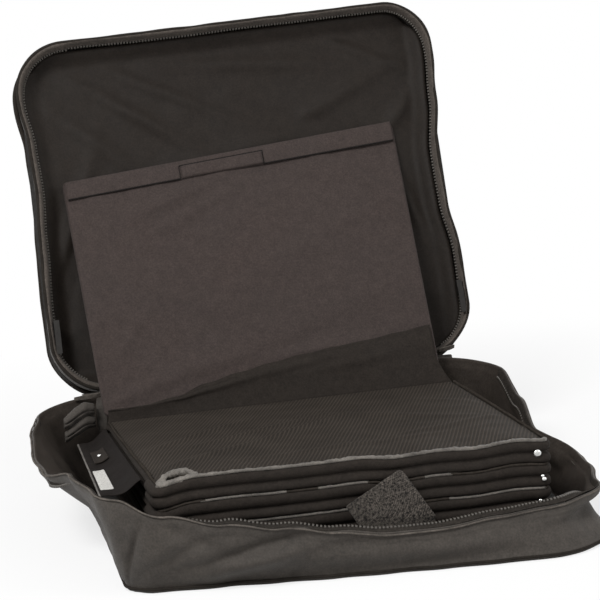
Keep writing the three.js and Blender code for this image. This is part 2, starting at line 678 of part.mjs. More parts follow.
function buildBackStrip(strip) {
  const x = RACK_WIDTH / 2 - STRIP_MARGIN;
  const walk = straightWalk(vector(x, RACK_BACK_Y), vector(-x, RACK_BACK_Y), BACK, 2);
  add(`back_strip_${strip}`, loft(walk.map((station) => ridgeSection(station, 2 * strip))), "mesh");
}

// A steel rivet through the right front corner of each pair.
const RIVET_RADIUS = 2.3;
const TOP_RIVET_RADIUS = 3;
const RIVET_HEIGHT = 1.2;
const RIVET_X = RACK_WIDTH / 2 - 12;
const RIVET_SEGMENTS = 12;

function buildRivet(unit) {
  const isTop = 2 * unit === BOARD_COUNT;
  const radius = isTop ? TOP_RIVET_RADIUS : RIVET_RADIUS;
  const board = isTop ? BOARD_COUNT : 2 * unit - 1;
  const head = new THREE.CylinderGeometry(radius, radius, RIVET_HEIGHT, RIVET_SEGMENTS);
  const face = RACK_FRONT_Y + HALF_BOARD - (HALF_BOARD + GAP + THIN_FABRIC) * RIDGE_SPREAD;
  head.translate(RIVET_X, face - GAP - RIVET_HEIGHT / 2, frontHeight(board));
  add(`rivet_${unit}`, head, "steel");
}

// ---- The side flap, which droops from the top board's left end, with its blank label and snap patch ----

const FLAP_SPAN = { front: -76, back: 106 };
const FLAP_REACH = 25;
const FLAP_DROP = 11;
const LABEL_SPOT = { from: [-62, 14], to: [-6, 23.5] };
const PATCH_SPOT = { from: [22, 9], to: [66, 22] };
const STUD_SPOT = { from: [46, 13], to: [50, 17] };

function buildSideFlap() {
  const edge = -RACK_WIDTH / 2 - GAP;
  const slope = Math.atan2(FLAP_DROP, FLAP_REACH);
  const onFlap = (y, reach, lift) => {
    const x = edge - reach * Math.cos(slope) - lift * Math.sin(slope);
    const z = middleHeight(BOARD_COUNT, y) - reach * Math.sin(slope) + lift * Math.cos(slope);
    return new THREE.Vector3(x, y, z);
  };
  const sheet = (y, [near, far], low, high) => ({
    outer: [onFlap(y, near, high), onFlap(y, far, high)],
    inner: [onFlap(y, near, low), onFlap(y, far, low)],
  });
  const spread = (from, to, low, high) => {
    const reaches = [from[1], to[1]];
    return loft([sheet(from[0], reaches, low, high), sheet(to[0], reaches, low, high)]);
  };
  const { front, back } = FLAP_SPAN;
  add("side_flap", spread([front, 0], [back, FLAP_REACH], 0, THIN_FABRIC), "nylon");
  const onTop = THIN_FABRIC + GAP;
  add("blank_label", spread(LABEL_SPOT.from, LABEL_SPOT.to, onTop, onTop + MESH_THICKNESS), "label");
  add("snap_patch", spread(PATCH_SPOT.from, PATCH_SPOT.to, onTop, onTop + LINING), "loops");
  const onPatch = onTop + LINING + GAP;
  add("snap_stud", spread(STUD_SPOT.from, STUD_SPOT.to, onPatch, onPatch + WEBBING), "steel");
}

// ---- The header panel, leaning back against the lid's lining ----

const HEADER_FOOT = 8;
const HEADER_HINGE = { y: RACK_BACK_Y + HALF_BOARD, z: backHeight(BOARD_COUNT) + HALF_BOARD + 4 };
const HEM_HEIGHT = 11;
const HEM_THICKNESS = 1;
const TAB_WIDTH = 62;
const TAB_THICKNESS = 1.4;
const HEADER_CORNER = 6;

// The lean that brings the header's top back edge up to the lining.
function headerLean() {
  const forward = new THREE.Vector2(-Math.cos(LID_LEAN), Math.sin(LID_LEAN));
  const fromHinge = new THREE.Vector2(HEADER_HINGE.y - LID_HINGE.y, HEADER_HINGE.z - LID_HINGE.z);
  const room = fromHinge.dot(forward) - LINING_FRONT - GAP;
  const half = HEADER_THICKNESS / 2;
  const skewed = HEADER_LENGTH * Math.cos(HEADER_SKEW) + (HEADER_WIDTH / 2) * Math.sin(HEADER_SKEW);
  const length = HEADER_FOOT + skewed;
  return LID_LEAN + Math.asin(room / Math.hypot(length, half)) - Math.atan2(half, length);
}

const headerFrame = leanFrame(HEADER_HINGE, headerLean());

// The panel slumps a little in its own plane, turned about the middle of its foot.
function buildHeader() {
  const slump = (geometry) =>
    geometry.translate(0, -HEADER_FOOT, 0).rotateZ(HEADER_SKEW).translate(0, HEADER_FOOT, 0);
  const stand = (geometry) => slump(geometry).applyMatrix4(headerFrame);
  const top = HEADER_FOOT + HEADER_LENGTH;
  const middle = HEADER_FOOT + HEADER_LENGTH / 2;
  const pad = roundedPad(HEADER_WIDTH, HEADER_LENGTH, HEADER_CORNER, HEADER_THICKNESS);
  add("header_panel", stand(pad.translate(0, middle, 0)), "header");

  const face = HEADER_THICKNESS / 2 + GAP;
  const [x, notch] = [HEADER_WIDTH / 2 - HEADER_CORNER / 2, TAB_WIDTH / 2 + GAP];
  const [low, high] = [top - HEADER_CORNER / 2 - HEM_HEIGHT, top - HEADER_CORNER / 2];
  const thread = low + HEM_HEIGHT / 6;
  const hem = polygon([[-x, low], [-notch, low], [-notch, high - thread + low], [notch, high - thread + low],
    [notch, low], [x, low], [x, high], [-x, high]]);
  add("header_hem", stand(plate(hem, face, HEM_THICKNESS)), "header");
  const tabTop = high - thread + low - GAP;
  const tab = polygon([[-notch + GAP, low], [notch - GAP, low], [notch - GAP, tabTop], [-notch + GAP, tabTop]]);
  add("header_tab", stand(plate(tab, face, TAB_THICKNESS)), "header");
}

// The fabric fold runs from the top board's back edge up to the header's foot.
const FOLD_GRIP = 22;

function buildHeaderFold() {
  const onHeader = (up, into) => new THREE.Vector3(0, up, into).applyMatrix4(headerFrame);
  const edgeY = RACK_BACK_Y + GAP;
  const edgeZ = backHeight(BOARD_COUNT);
  const back = -HEADER_THICKNESS / 2 - GAP;
  const x = HEADER_WIDTH / 2 - STRIP_MARGIN / 2;
  const inner = [new THREE.Vector3(0, edgeY, edgeZ), onHeader(0, back), onHeader(HEADER_FOOT + FOLD_GRIP, back)];
  const outer = [
    new THREE.Vector3(0, edgeY + THIN_FABRIC, edgeZ),
    onHeader(-THIN_FABRIC / 2, back - THIN_FABRIC),
    onHeader(HEADER_FOOT + FOLD_GRIP, back - THIN_FABRIC),
  ];
  const sections = [-x, x].map((side) => ({
    inner: inner.map((point) => point.clone().setX(side)),
    outer: outer.map((point) => point.clone().setX(side)),
  }));
  add("header_fold", loft(sections), "header");
}

buildFloor();
buildWalls();
buildBaseZip();
buildStrap();
buildLid();
buildSlider("left", -1);
buildSlider("right", 1);
buildBagHinge();
buildBoards();
for (let unit = 1; 2 * unit <= BOARD_COUNT; unit++) {
  buildPocket(2 * unit);
  buildFrontWrap(unit);
  buildRivet(unit);
}
for (let strip = 1; 2 * strip < BOARD_COUNT; strip++) buildBackStrip(strip);
buildSideFlap();
buildHeader();
buildHeaderFold();

export default rack;
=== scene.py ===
# %% [markdown]
# # A folded brochure rack in its soft zip bag
# The real object is a fabric literature display, folded flat as a zigzag of padded boards with mesh
# pockets, lying in the carry bag that it travels in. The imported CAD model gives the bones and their
# joints. This lesson dresses them in cloth. Everything is in metres, in the frame of the CAD model.

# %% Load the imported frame
import math

import bmesh
import bpy
from mathutils import Matrix, Vector, noise


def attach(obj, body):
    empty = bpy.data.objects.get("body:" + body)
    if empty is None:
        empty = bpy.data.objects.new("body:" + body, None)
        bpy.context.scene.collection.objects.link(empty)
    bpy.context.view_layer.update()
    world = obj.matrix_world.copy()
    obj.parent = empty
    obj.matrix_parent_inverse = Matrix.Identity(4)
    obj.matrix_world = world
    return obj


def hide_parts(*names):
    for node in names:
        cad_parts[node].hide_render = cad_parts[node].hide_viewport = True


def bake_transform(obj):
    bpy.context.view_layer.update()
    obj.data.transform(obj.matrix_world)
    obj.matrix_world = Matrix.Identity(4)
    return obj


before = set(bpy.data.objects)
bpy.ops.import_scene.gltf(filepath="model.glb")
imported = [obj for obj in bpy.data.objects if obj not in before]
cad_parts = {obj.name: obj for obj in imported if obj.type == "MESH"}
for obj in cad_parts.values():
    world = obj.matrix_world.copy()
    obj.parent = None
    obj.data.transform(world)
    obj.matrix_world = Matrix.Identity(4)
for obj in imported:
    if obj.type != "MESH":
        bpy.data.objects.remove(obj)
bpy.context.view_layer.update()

# %% [markdown]
# ## The camera
# A product photo is easiest to compare when the camera stands where the photographer stood. Here it
# is placed by its bearing and height round the bag, and then turned a little on its own axes, because
# a hand-held camera is never quite level.

# %% Place the camera
MM = 0.001
BEARING, HEIGHT, DISTANCE = math.radians(-11.005), math.radians(12.402), 1.511622
LOOK_ASIDE, LOOK_DOWN, ROLL = math.radians(0.056), math.radians(-3.054), math.radians(-3.982)
PHOTO_WIDTH, FOCAL_PIXELS, SENSOR = 600, 1841.813, 36


def towards(bearing, height):
    """The way from the bag to a camera at that bearing and height."""
    flat = math.cos(height)
    return Vector((math.sin(bearing) * flat, -math.cos(bearing) * flat, math.sin(height)))


camera = bpy.data.objects.new("camera", bpy.data.cameras.new("camera"))
bpy.context.collection.objects.link(camera)
backward = towards(BEARING + LOOK_ASIDE, HEIGHT + LOOK_DOWN)
level = Vector((0, 0, 1)).cross(backward).normalized()
upright = backward.cross(level)
rightward = level * math.cos(ROLL) + upright * math.sin(ROLL)
upward = upright * math.cos(ROLL) - level * math.sin(ROLL)
turn = Matrix((rightward, upward, backward)).transposed().to_4x4()
place = Vector((0, 0, 0.1)) + towards(BEARING, HEIGHT) * DISTANCE
camera.matrix_world = Matrix.Translation(place) @ turn
camera.data.sensor_width = SENSOR
camera.data.lens = SENSOR * FOCAL_PIXELS / PHOTO_WIDTH
camera.data.dof.use_dof = False
bpy.context.scene.camera = camera
bpy.context.scene.view_settings.view_transform = "Standard"
print("lens", round(camera.data.lens, 1), "mm at", [round(v, 3) for v in place])

# %% [markdown]
# ## Floor, background and light
# Dark cloth shows its folds only in soft light from a wide source. One broad lamp from the front left
# models the folds, a weaker one opens the shadows on the right, and a pale sky fills the rest. The
# levels are set so that a grey card would come out as grey as it is. The sky is plain white where the
# camera or a reflection sees it, and dimmer where it lights the cloth.

# %% Helpers for nodes


def new_material(name):
    """An empty node material, with its output and a helper that adds nodes to it."""
    material = bpy.data.materials.new(name)
    material.use_nodes = True
    tree = material.node_tree
    tree.nodes.clear()
    return material, tree, tree.nodes.new("ShaderNodeOutputMaterial")


def add_node(tree, kind, inputs=None, **settings):
    """Adds a node; inputs are constants, or sockets of other nodes that feed it."""
    node = tree.nodes.new(kind)
    for key, value in settings.items():
        setattr(node, key, value)
    for key, value in (inputs or {}).items():
        if isinstance(value, bpy.types.NodeSocket):
            tree.links.new(value, node.inputs[key])
        else:
            node.inputs[key].default_value = value
    return node


def calc(tree, operation, *values):
    """The result of one Math node."""
    return add_node(tree, "ShaderNodeMath", dict(enumerate(values)), operation=operation).outputs[0]


def remap(tree, value, low, high, to_low=0.0, to_high=1.0):
    """Carries the range from low to high to another range."""
    ends = {0: value, 1: low, 2: high, 3: to_low, 4: to_high}
    return add_node(tree, "ShaderNodeMapRange", ends).outputs[0]


# %% Floor
FLOOR_SIZE = 14.0
bm = bmesh.new()
bmesh.ops.create_grid(bm, x_segments=1, y_segments=1, size=FLOOR_SIZE / 2)
floor_mesh = bpy.data.meshes.new("studio_floor")
bm.to_mesh(floor_mesh)
bm.free()
studio_floor = bpy.data.objects.new("studio_floor", floor_mesh)
bpy.context.collection.objects.link(studio_floor)
material, tree, output = new_material("pale_floor")
shader = add_node(tree, "ShaderNodeBsdfDiffuse", {"Color": (0.93, 0.93, 0.93, 1), "Roughness": 1.0})
glow = add_node(tree, "ShaderNodeEmission", {"Color": (1, 1, 1, 1), "Strength": 1.0})
path = add_node(tree, "ShaderNodeLightPath")
spot = add_node(tree, "ShaderNodeTexCoord").outputs["Object"]
away = add_node(tree, "ShaderNodeVectorMath", {0: spot}, operation="LENGTH")
fade = remap(tree, away.outputs["Value"], 0.2, 0.9, 0.72, 1.0)
seen = calc(tree, "MULTIPLY", path.outputs["Is Camera Ray"], fade)
mixed = add_node(tree, "ShaderNodeMixShader", {0: seen, 1: shader.outputs[0], 2: glow.outputs[0]})
tree.links.new(mixed.outputs[0], output.inputs["Surface"])
floor_mesh.materials.append(material)

# %% Sky
world = bpy.data.worlds.new("studio")
bpy.context.scene.world = world
world.use_nodes = True
tree = world.node_tree
tree.nodes.clear()
path = add_node(tree, "ShaderNodeLightPath")
seen = calc(tree, "MAXIMUM", path.outputs["Is Camera Ray"], path.outputs["Is Glossy Ray"])
seen = calc(tree, "MAXIMUM", seen, path.outputs["Is Transmission Ray"])
soft = add_node(tree, "ShaderNodeBackground", {"Color": (1, 1, 1, 1), "Strength": 0.40})
white = add_node(tree, "ShaderNodeBackground", {"Color": (1, 1, 1, 1), "Strength": 1.0})
mixed = add_node(tree, "ShaderNodeMixShader", {0: seen, 1: soft.outputs[0], 2: white.outputs[0]})
output = add_node(tree, "ShaderNodeOutputWorld", {"Surface": mixed.outputs[0]})

# %% Lamps


def add_lamp(name, at, aim, size, watts):
    """A square soft lamp that looks at a point."""
    lamp = bpy.data.objects.new(name, bpy.data.lights.new(name, "AREA"))
    lamp.data.size = size
    lamp.data.energy = watts
    lamp.location = at
    lamp.rotation_euler = (Vector(at) - Vector(aim)).to_track_quat("Z", "Y").to_euler()
    bpy.context.collection.objects.link(lamp)
    return lamp


add_lamp("key", (-1.2, -1.3, 1.9), (0, 0, 0.12), 0.8, 38)
add_lamp("fill", (1.9, -1.2, 1.2), (0, 0, 0.12), 1.2, 9)

# %% [markdown]
# ## Cloth materials
# Every cloth here is dark, so colour alone says little. What the eye reads is the grain: threads about
# half a millimetre wide, a slight mottle from dye and handling, and a faint sheen where the cloth turns
# away. One builder makes them all. The weave follows each piece's own UV map, which is laid out in
# metres, so a thread has the same width on every piece.

# %% A builder for woven cloth


def grain(tree, place, scale, detail, roughness=0.5):
    """Cloudy noise on the piece's own coordinates."""
    inputs = {"Vector": place, "Scale": scale, "Detail": detail, "Roughness": roughness}
    return add_node(tree, "ShaderNodeTexNoise", inputs).outputs[0]


def coat(tree, output, colour, tone, relief, depth, strength, finish):
    """Scales a colour by a tone, raises the surface by a relief in millimetres, and adds the finish."""
    tinted = add_node(tree, "ShaderNodeVectorMath", {0: colour, "Scale": tone}, operation="SCALE")
    raised = {"Height": relief, "Distance": depth * MM, "Strength": strength}
    bumped = add_node(tree, "ShaderNodeBump", raised)
    inputs = {"Base Color": tinted.outputs[0], "Normal": bumped.outputs[0], **finish}
    shader = add_node(tree, "ShaderNodeBsdfPrincipled", inputs)
    tree.links.new(shader.outputs[0], output.inputs["Surface"])


def woven(name, colour, thread=0.7, bump=0.1, mottle=0.2, sheen=0.0, roughness=0.85, fleck=0.1, gloss=0.25):
    """A plain weave with mottled dye. thread and bump are in millimetres."""
    material, tree, output = new_material(name)
    uv = add_node(tree, "ShaderNodeUVMap", uv_map="cloth").outputs[0]
    axes = add_node(tree, "ShaderNodeSeparateXYZ", {0: uv})
    turns = [calc(tree, "MULTIPLY", axes.outputs[axis], math.pi / (thread * MM)) for axis in (0, 1)]
    weave = calc(tree, "MULTIPLY", *(calc(tree, "SINE", turn) for turn in turns))
    place = add_node(tree, "ShaderNodeTexCoord").outputs["Object"]
    broad, cloud, fine = (
        grain(tree, place, 22, 3), grain(tree, place, 130, 4, 0.65), grain(tree, place, 650, 2)
    )
    dark, light = ([c * (1 + share) for c in colour] + [1] for share in (-mottle, mottle))
    dye = add_node(tree, "ShaderNodeMix", {0: broad, 6: dark, 7: light}, data_type="RGBA").outputs[2]
    threads = remap(tree, weave, -1.0, 1.0, 1 - fleck, 1 + fleck)
    flecks = remap(tree, fine, 0.3, 0.7, 1 - 2 * fleck, 1 + 2 * fleck)
    handled = remap(tree, cloud, 0.3, 0.7, 1 - 0.8 * mottle, 1 + 0.8 * mottle)
    tone = calc(tree, "MULTIPLY", calc(tree, "MULTIPLY", threads, flecks), handled)
    relief = calc(tree, "MULTIPLY_ADD", cloud, 6.0, calc(tree, "MULTIPLY_ADD", fine, 0.5, weave))
    worn = remap(tree, broad, 0.3, 0.7, roughness - 0.06, roughness + 0.06)
    finish = {"Roughness": worn, "Sheen Weight": sheen, "Sheen Roughness": 0.5, "Specular IOR Level": gloss}
    coat(tree, output, dye, tone, relief, bump, 0.6, finish)
    return material


def shade_of(red, green, blue):
    """A colour as the photo's pixels write it, turned into the linear light that the shader wants."""
    return tuple(((v / 255 + 0.055) / 1.055) ** 2.4 for v in (red, green, blue))


# %% [markdown]
# One line makes one cloth. The bag is nylon outside and coated inside, and its inside cloth is darker
# partly for the coating and partly as painted shade in the bag's hollow. The boards and the header have
# covers of their own, and the tapes, the ribbons and the fuzzy strap differ in thread and gloss.

# %% The cloths of this bag
NYLON = woven("nylon_shell", shade_of(70, 65, 60), thread=0.8, bump=0.14, sheen=0.06, roughness=0.62)
# Darker than the shell: partly the coating, partly painted shade inside the bag.
SHADED_INSIDE = woven("coated_and_shaded_inside", shade_of(60, 54, 49), thread=0.8, roughness=0.7, gloss=0.12)
LINING = woven("coated_lining", shade_of(38, 33, 29), 0.6, bump=0.06, mottle=0.18, roughness=0.6, gloss=0.15)
BOARD_CLOTH = woven("board_cloth", shade_of(46, 41, 37), gloss=0.15)
PLUM = woven("header_cloth", shade_of(66, 57, 54), mottle=0.17, sheen=0.03)
TAPE = woven("zip_tape", shade_of(86, 79, 73), thread=1.2, bump=0.15, sheen=0.05, fleck=0.12)
BINDING = woven("satin_binding", shade_of(112, 107, 101), thread=1.0, mottle=0.45, sheen=0.1, roughness=0.45)
# The flap's cloth is made very dark as painted shade, low beside the pile.
SHADED_FLAP_CLOTH = woven("flap_cloth", shade_of(30, 26, 24), gloss=0.12)
RIM_TAPE = woven("rim_tape", shade_of(50, 46, 42), thread=1.2, bump=0.15, mottle=0.3, fleck=0.2, gloss=0.12)
# A pale cloth that paints the highlight along the rim's folded edge. The tape's cut ends take it too.
FOLD_HIGHLIGHT = woven("rim_fold_highlight", shade_of(92, 86, 80), thread=0.8, mottle=0.5)
PIPING = woven("bound_piping", shade_of(44, 40, 36), thread=0.8, mottle=0.25, gloss=0.12)
# A darker copy of the satin ribbon, which paints the ribbon's shade.
RIBBON_SHADE = woven("ribbon_in_shade", shade_of(62, 57, 52), thread=1.0, mottle=0.3, gloss=0.0)
LOOPS = woven("loop_pile", shade_of(70, 65, 60), 0.9, bump=0.5, sheen=0.08, roughness=0.9, fleck=0.5)
# A dark line that paints the shadow under the header's hem and round its tab.
SEAM_SHADOW = woven("seam_painted_shadow", shade_of(26, 22, 20), thread=1.0, mottle=0.1)
LABEL_CLOTH = woven("blank_label_cloth", shade_of(226, 224, 218), 0.5, bump=0.06, mottle=0.03, sheen=0.15)
print("cloths", [m.name for m in bpy.data.materials if m.use_nodes])

# %% [markdown]
# The pocket net is a knitted mesh. Its holes are small diamonds, so two sets of slanted waves cross
# over each other, and the cloth goes dark where both dip.

# %% Knitted net, moulded plastic, steel and card


def netting(name, colour, hole, pitch):
    """A knitted mesh: dark diamonds between lighter yarns, pitch in millimetres."""
    material, tree, output = new_material(name)
    uv = add_node(tree, "ShaderNodeUVMap", uv_map="cloth").outputs[0]
    axes = add_node(tree, "ShaderNodeSeparateXYZ", {0: uv})
    slants = [calc(tree, "MULTIPLY_ADD", axes.outputs[1], lean, axes.outputs[0]) for lean in (-0.37, 0.9)]
    turns = [calc(tree, "MULTIPLY", slant, 2 * math.pi / (pitch * MM)) for slant in slants]
    strong, weak = (calc(tree, "SINE", turn) for turn in turns)
    yarn = calc(tree, "MAXIMUM", strong, calc(tree, "MULTIPLY", weak, 0.5))
    place = add_node(tree, "ShaderNodeTexCoord").outputs["Object"]
    tone = remap(tree, grain(tree, place, 30, 2), 0.3, 0.7, 0.85, 1.15)
    ends = {0: remap(tree, yarn, -0.3, 0.8), 6: (*hole, 1), 7: (*colour, 1)}
    mixed = add_node(tree, "ShaderNodeMix", ends, data_type="RGBA").outputs[2]
    coat(tree, output, mixed, tone, yarn, 0.3, 0.7, {"Roughness": 0.7, "Specular IOR Level": 0.1})
    return material


def hard(name, colour, roughness, metallic=0.0):
    """Moulded plastic, card or metal with fine scuffs, on the piece's own coordinates."""
    material, tree, output = new_material(name)
    scuffs = grain(tree, add_node(tree, "ShaderNodeTexCoord").outputs["Object"], 300, 4)
    worn = remap(tree, scuffs, 0.3, 0.7, roughness * 0.8, roughness * 1.2)
    tone = remap(tree, scuffs, 0.3, 0.7, 0.85, 1.1)
    coat(tree, output, colour, tone, scuffs, 0.05, 0.3, {"Roughness": worn, "Metallic": metallic})
    return material


NET = netting("pocket_net", shade_of(66, 60, 54), shade_of(32, 28, 25), pitch=3.2)
COIL = hard("coil_plastic", shade_of(84, 79, 73), 0.4)
DARK_METAL = hard("dark_slider_metal", shade_of(38, 36, 34), 0.4, metallic=0.6)
STEEL = hard("bright_steel", shade_of(235, 235, 232), 0.25, metallic=1.0)
CARD = hard("stiffener_card", shade_of(44, 42, 40), 0.8)

# %% [markdown]
# ## How every cloth piece is laid
# A sheet of cloth starts as a flat grid. Its UV map is written while it is still flat, one metre of UV
# to one metre of cloth, and then each point of the grid is carried to where it lies on the bag. A
# closed wall or a tube is the same sheet with its ends welded. A Solidify modifier gives the sheet its
# thickness, and one level of subdivision rounds its edges.

# %% Laying cloth
WELD = 2e-6


def lay(place, columns, rows, size, ring=False):
    """A flat grid whose points place(u, v) carries to their spot, in millimetres."""
    bm = bmesh.new()
    uv = bm.loops.layers.uv.new("cloth")
    bmesh.ops.create_grid(bm, x_segments=columns, y_segments=rows, size=0.5)
    for face in bm.faces:
        for loop in face.loops:
            at = loop.vert.co
            loop[uv].uv = ((at.x + 0.5) * size[0] * MM, (at.y + 0.5) * size[1] * MM)
    for vert in bm.verts:
        vert.co = place(vert.co.x + 0.5, vert.co.y + 0.5) * MM
    if ring:
        bmesh.ops.remove_doubles(bm, verts=bm.verts, dist=WELD)
    return bm


def close_ends(bm):
    """Fills the open ends of a tube and turns its faces outwards."""
    bmesh.ops.holes_fill(bm, edges=[e for e in bm.edges if e.is_boundary])
    bmesh.ops.recalc_face_normals(bm, faces=bm.faces)


def side_on_uv(bm):
    """A UV map seen from the front, for small hard pieces."""
    uv = bm.loops.layers.uv.new("cloth")
    for face in bm.faces:
        for loop in face.loops:
            loop[uv].uv = (loop.vert.co.x, loop.vert.co.z)


# %% Finishing a piece


def freeze(obj):
    """Turns an object's modifiers into its mesh."""
    bpy.context.view_layer.update()
    mesh = bpy.data.meshes.new_from_object(obj.evaluated_get(bpy.context.evaluated_depsgraph_get()))
    obj.modifiers.clear()
    obj.data = mesh
    mesh.name = obj.name


def finish_piece(
    name, bm, material, body=None, stands_for=(), thickness=0.0, offset=-1.0, smooth=1,
    crease=None, inside=None,
):
    """Makes the object, gives it thickness and roundness, and puts it on its body."""
    mesh = bpy.data.meshes.new(name)
    bm.to_mesh(mesh)
    bm.free()
    obj = bpy.data.objects.new(name, mesh)
    bpy.context.collection.objects.link(obj)
    mesh.materials.append(material)
    if thickness:
        skin = obj.modifiers.new("thickness", "SOLIDIFY")
        skin.thickness, skin.offset = thickness * MM, offset
        if inside:
            mesh.materials.append(inside)
            skin.material_offset = 1
    if smooth:
        rounding = obj.modifiers.new("roundness", "SUBSURF")
        rounding.levels = rounding.render_levels = smooth
    freeze(obj)
    obj.data.shade_smooth()
    if crease is not None:
        obj.data.set_sharp_from_angle(angle=math.radians(crease))
    if body:
        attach(obj, body)
    if stands_for:
        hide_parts(*stands_for)
    obj.data.calc_loop_triangles()
    print(f"{name}: {len(obj.data.loop_triangles)} triangles")
    return obj


# %% [markdown]
# Cloth is never quite even. Smooth noise makes its small waves, and every larger form is read from a
# short table with an easing curve, so that it has no kinks.

# %% Noise, easing and tables


def ripple(x, y, z, size, seed):
    """Smooth noise from -1 to 1, whose bumps are about size millimetres wide."""
    return noise.noise(Vector((x / size + 17.3 * seed, y / size - 5.1 * seed, z / size + 9.7 * seed)))


def ease(low, high, value):
    """0 below low, 1 above high, and smooth between."""
    t = min(max((value - low) / (high - low), 0.0), 1.0)
    return t * t * (3 - 2 * t)


def read(shares, t):
    """Reads a table of evenly spaced entries at t from 0 to 1, easing between them."""
    at = min(max(t, 0.0), 1.0) * (len(shares) - 1)
    low = min(int(at), len(shares) - 2)
    mix = (1 - math.cos((at - low) * math.pi)) / 2
    return shares[low] * (1 - mix) + shares[low + 1] * mix


# %% [markdown]
# ## The bag's base
# The base is a soft tray. Its walls have no stiffening, so the rim sags in front, flares out on the
# left and right, and the foot of the wall has slid back on the left under the load. A wall made from
# five plates could never show that. Instead one sheet runs round the whole bag. Small tables say how
# high the rim is, how far it leans out and how far the foot has moved, at even steps along each side.

# %% Measures of the base
# Rim heights are shares of the wall. The other tables are shares of FLARE, BELLY and FOOT.
BAG_WIDTH, BAG_DEPTH, CORNER = 400, 340, 45
SIDE_HEIGHT, BACK_HEIGHT, WALL_FOOT, FLARE, BELLY, FOOT = 80, 86, 3.3, 26, 7, 16
STRAIGHT_X, STRAIGHT_Y, CORNER_ARC = BAG_WIDTH / 2 - CORNER, BAG_DEPTH / 2 - CORNER, math.pi / 2 * CORNER
RIM = {
    "left": [1, 0.95, 0.86, 0.85, 0.96, 0.93],
    "front": [0.93, 0.92, 0.76, 0.65, 0.56, 0.48, 0.41, 0.39, 0.42, 0.44, 0.47, 0.46],
    "right": [0.46, 0.46, 0.49, 0.57, 0.79, 1],
    "back": [SIDE_HEIGHT / BACK_HEIGHT, 1, 1, 1, 1, 1, SIDE_HEIGHT / BACK_HEIGHT],
}
LEAN_OUT = {
    "left": [0.6, 0.9, 0.96, 0.77, 0.12, -0.38],
    "front": [-0.38, -0.45, -0.2, 0.1, 0.25, 0.35, 0.4, 0.3, 0.15, 0, -0.2, 0.0],
    "right": [0.0, 0.45, 0.55, 0.05, 0.15, 0.15],
    "back": [0.15, 0, 0, 0, 0, 0, 0.6],
}
BULGE = {
    "left": [0, -0.8, -1.2, -1.4, -1.5, -1.3],
    "front": [-1.3, -0.7, 0.3, 0.9, 1, 1, 1, 1, 0.9, 0.6, -0.6, -0.8],
    "right": [-0.8, 0.1, 0.4, 0.2, 0.1, 0],
    "back": [0, 0],
}
FOOT_OUT = {
    "left": [-1.6, -1.65, -1.7, -1.7, -1.75, -1.75],
    "front": [-1.75, -1.6, -1.28, -0.85, -0.35, 0.1, 0.45, 0.8, 1.1, 1.3, 0.6, -0.3],
    "right": [-0.3, -0.2, 0, 0, 0, 0],
    "back": [0, 0, 0, 0, 0, -0.8, -1.6],
}
SIDES = ("left", "front", "right", "back")

# %% Walking round the base


def round_corner(x, y, radius, angle):
    """A point on a corner's arc and the way out of it."""
    out = Vector((math.cos(angle), math.sin(angle)))
    return Vector((x, y)) + out * radius, out


def side_point(side, t):
    """A point on the base's outline and the way out of it. Corners belong to the front and the back."""
    if side in ("left", "right"):
        sign = -1 if side == "left" else 1
        return Vector((sign * BAG_WIDTH / 2, sign * STRAIGHT_Y * (2 * t - 1))), Vector((sign, 0))
    sign = -1 if side == "front" else 1
    walked = t * (2 * STRAIGHT_X + 2 * CORNER_ARC)
    start = math.pi if side == "front" else 0
    if walked < CORNER_ARC:
        return round_corner(sign * STRAIGHT_X, sign * STRAIGHT_Y, CORNER, start + walked / CORNER)
    walked -= CORNER_ARC
    if walked < 2 * STRAIGHT_X:
        return Vector((-sign * (walked - STRAIGHT_X), sign * BAG_DEPTH / 2)), Vector((0, sign))
    turned = start + math.pi / 2 + (walked - 2 * STRAIGHT_X) / CORNER
    return round_corner(-sign * STRAIGHT_X, sign * STRAIGHT_Y, CORNER, turned)


def side_length(side):
    return 2 * STRAIGHT_Y if side in ("left", "right") else 2 * (STRAIGHT_X + CORNER_ARC)


SIDE_LENGTHS = {side: side_length(side) for side in SIDES}
ROUND = sum(SIDE_LENGTHS.values())


def along(walked):
    """Which side a distance round the bag falls on, and how far along it, from 0 to 1."""
    walked %= ROUND
    for side in SIDES:
        if walked <= SIDE_LENGTHS[side]:
            return side, walked / SIDE_LENGTHS[side]
        walked -= SIDE_LENGTHS[side]
    return "left", 0.0


print("round the bag", round(ROUND), "mm")

# %% [markdown]
# Soft creases come on top of the tables. Each one is a shallow valley or ridge along a line on the
# cloth, given by its middle, its slope, its length, its width and its depth. The photo's plainest ones
# are the long crease low on the left front, the tuck above the right front corner, and the dent that
# pulls that corner in.

# %% Creases
# Distance round the bag, height, slope, half length, half width, depth in millimetres.
CREASES = [
    (375, 14, 0.26, 55, 7, 8.0), (400, 33, 0.24, 55, 5, -7.0),
    (352, 42, -0.5, 24, 6, -4.0), (372, 52, 0.35, 30, 4, 3.0),
    (300, 34, 1.6, 22, 6, -5.0), (330, 26, 0.5, 26, 6, -4.0),
    (610, 24, 0.10, 70, 7, 2.5), (450, 26, 0.1, 40, 5, -2.5),
    (640, 19, -0.06, 50, 5, -3.5), (672, 25, 0.05, 34, 4.5, -9.0), (676, 12, 0.0, 30, 6, 3.0),
    (520, 18, -0.05, 90, 9, 2.0), (175, 40, 0.4, 40, 12, -4.0), (60, 46, -0.3, 45, 14, 4.0),
    (820, 30, 0.3, 40, 9, -4.0), (790, 24, -0.4, 40, 10, 4.0), (880, 44, 0.5, 36, 10, -4.0),
    (1080, 40, 0.1, 90, 12, 2.5), (1200, 52, -0.15, 80, 12, -2.5), (1010, 30, 0.7, 30, 9, -3.0),
]


def crease_depth(walked, z):
    """How far all the creases together push the cloth out at one spot."""
    total = 0.0
    for middle, height, slope, half_length, half_width, depth in CREASES:
        gone = (walked - middle + ROUND / 2) % ROUND - ROUND / 2
        across = (z - height - slope * gone) / half_width
        total += depth * math.exp(-across * across - (gone / half_length) ** 2)
    return total


# %% The wall
HEM = (7.5, 6.3)
FOOT_SHARE = 0.03


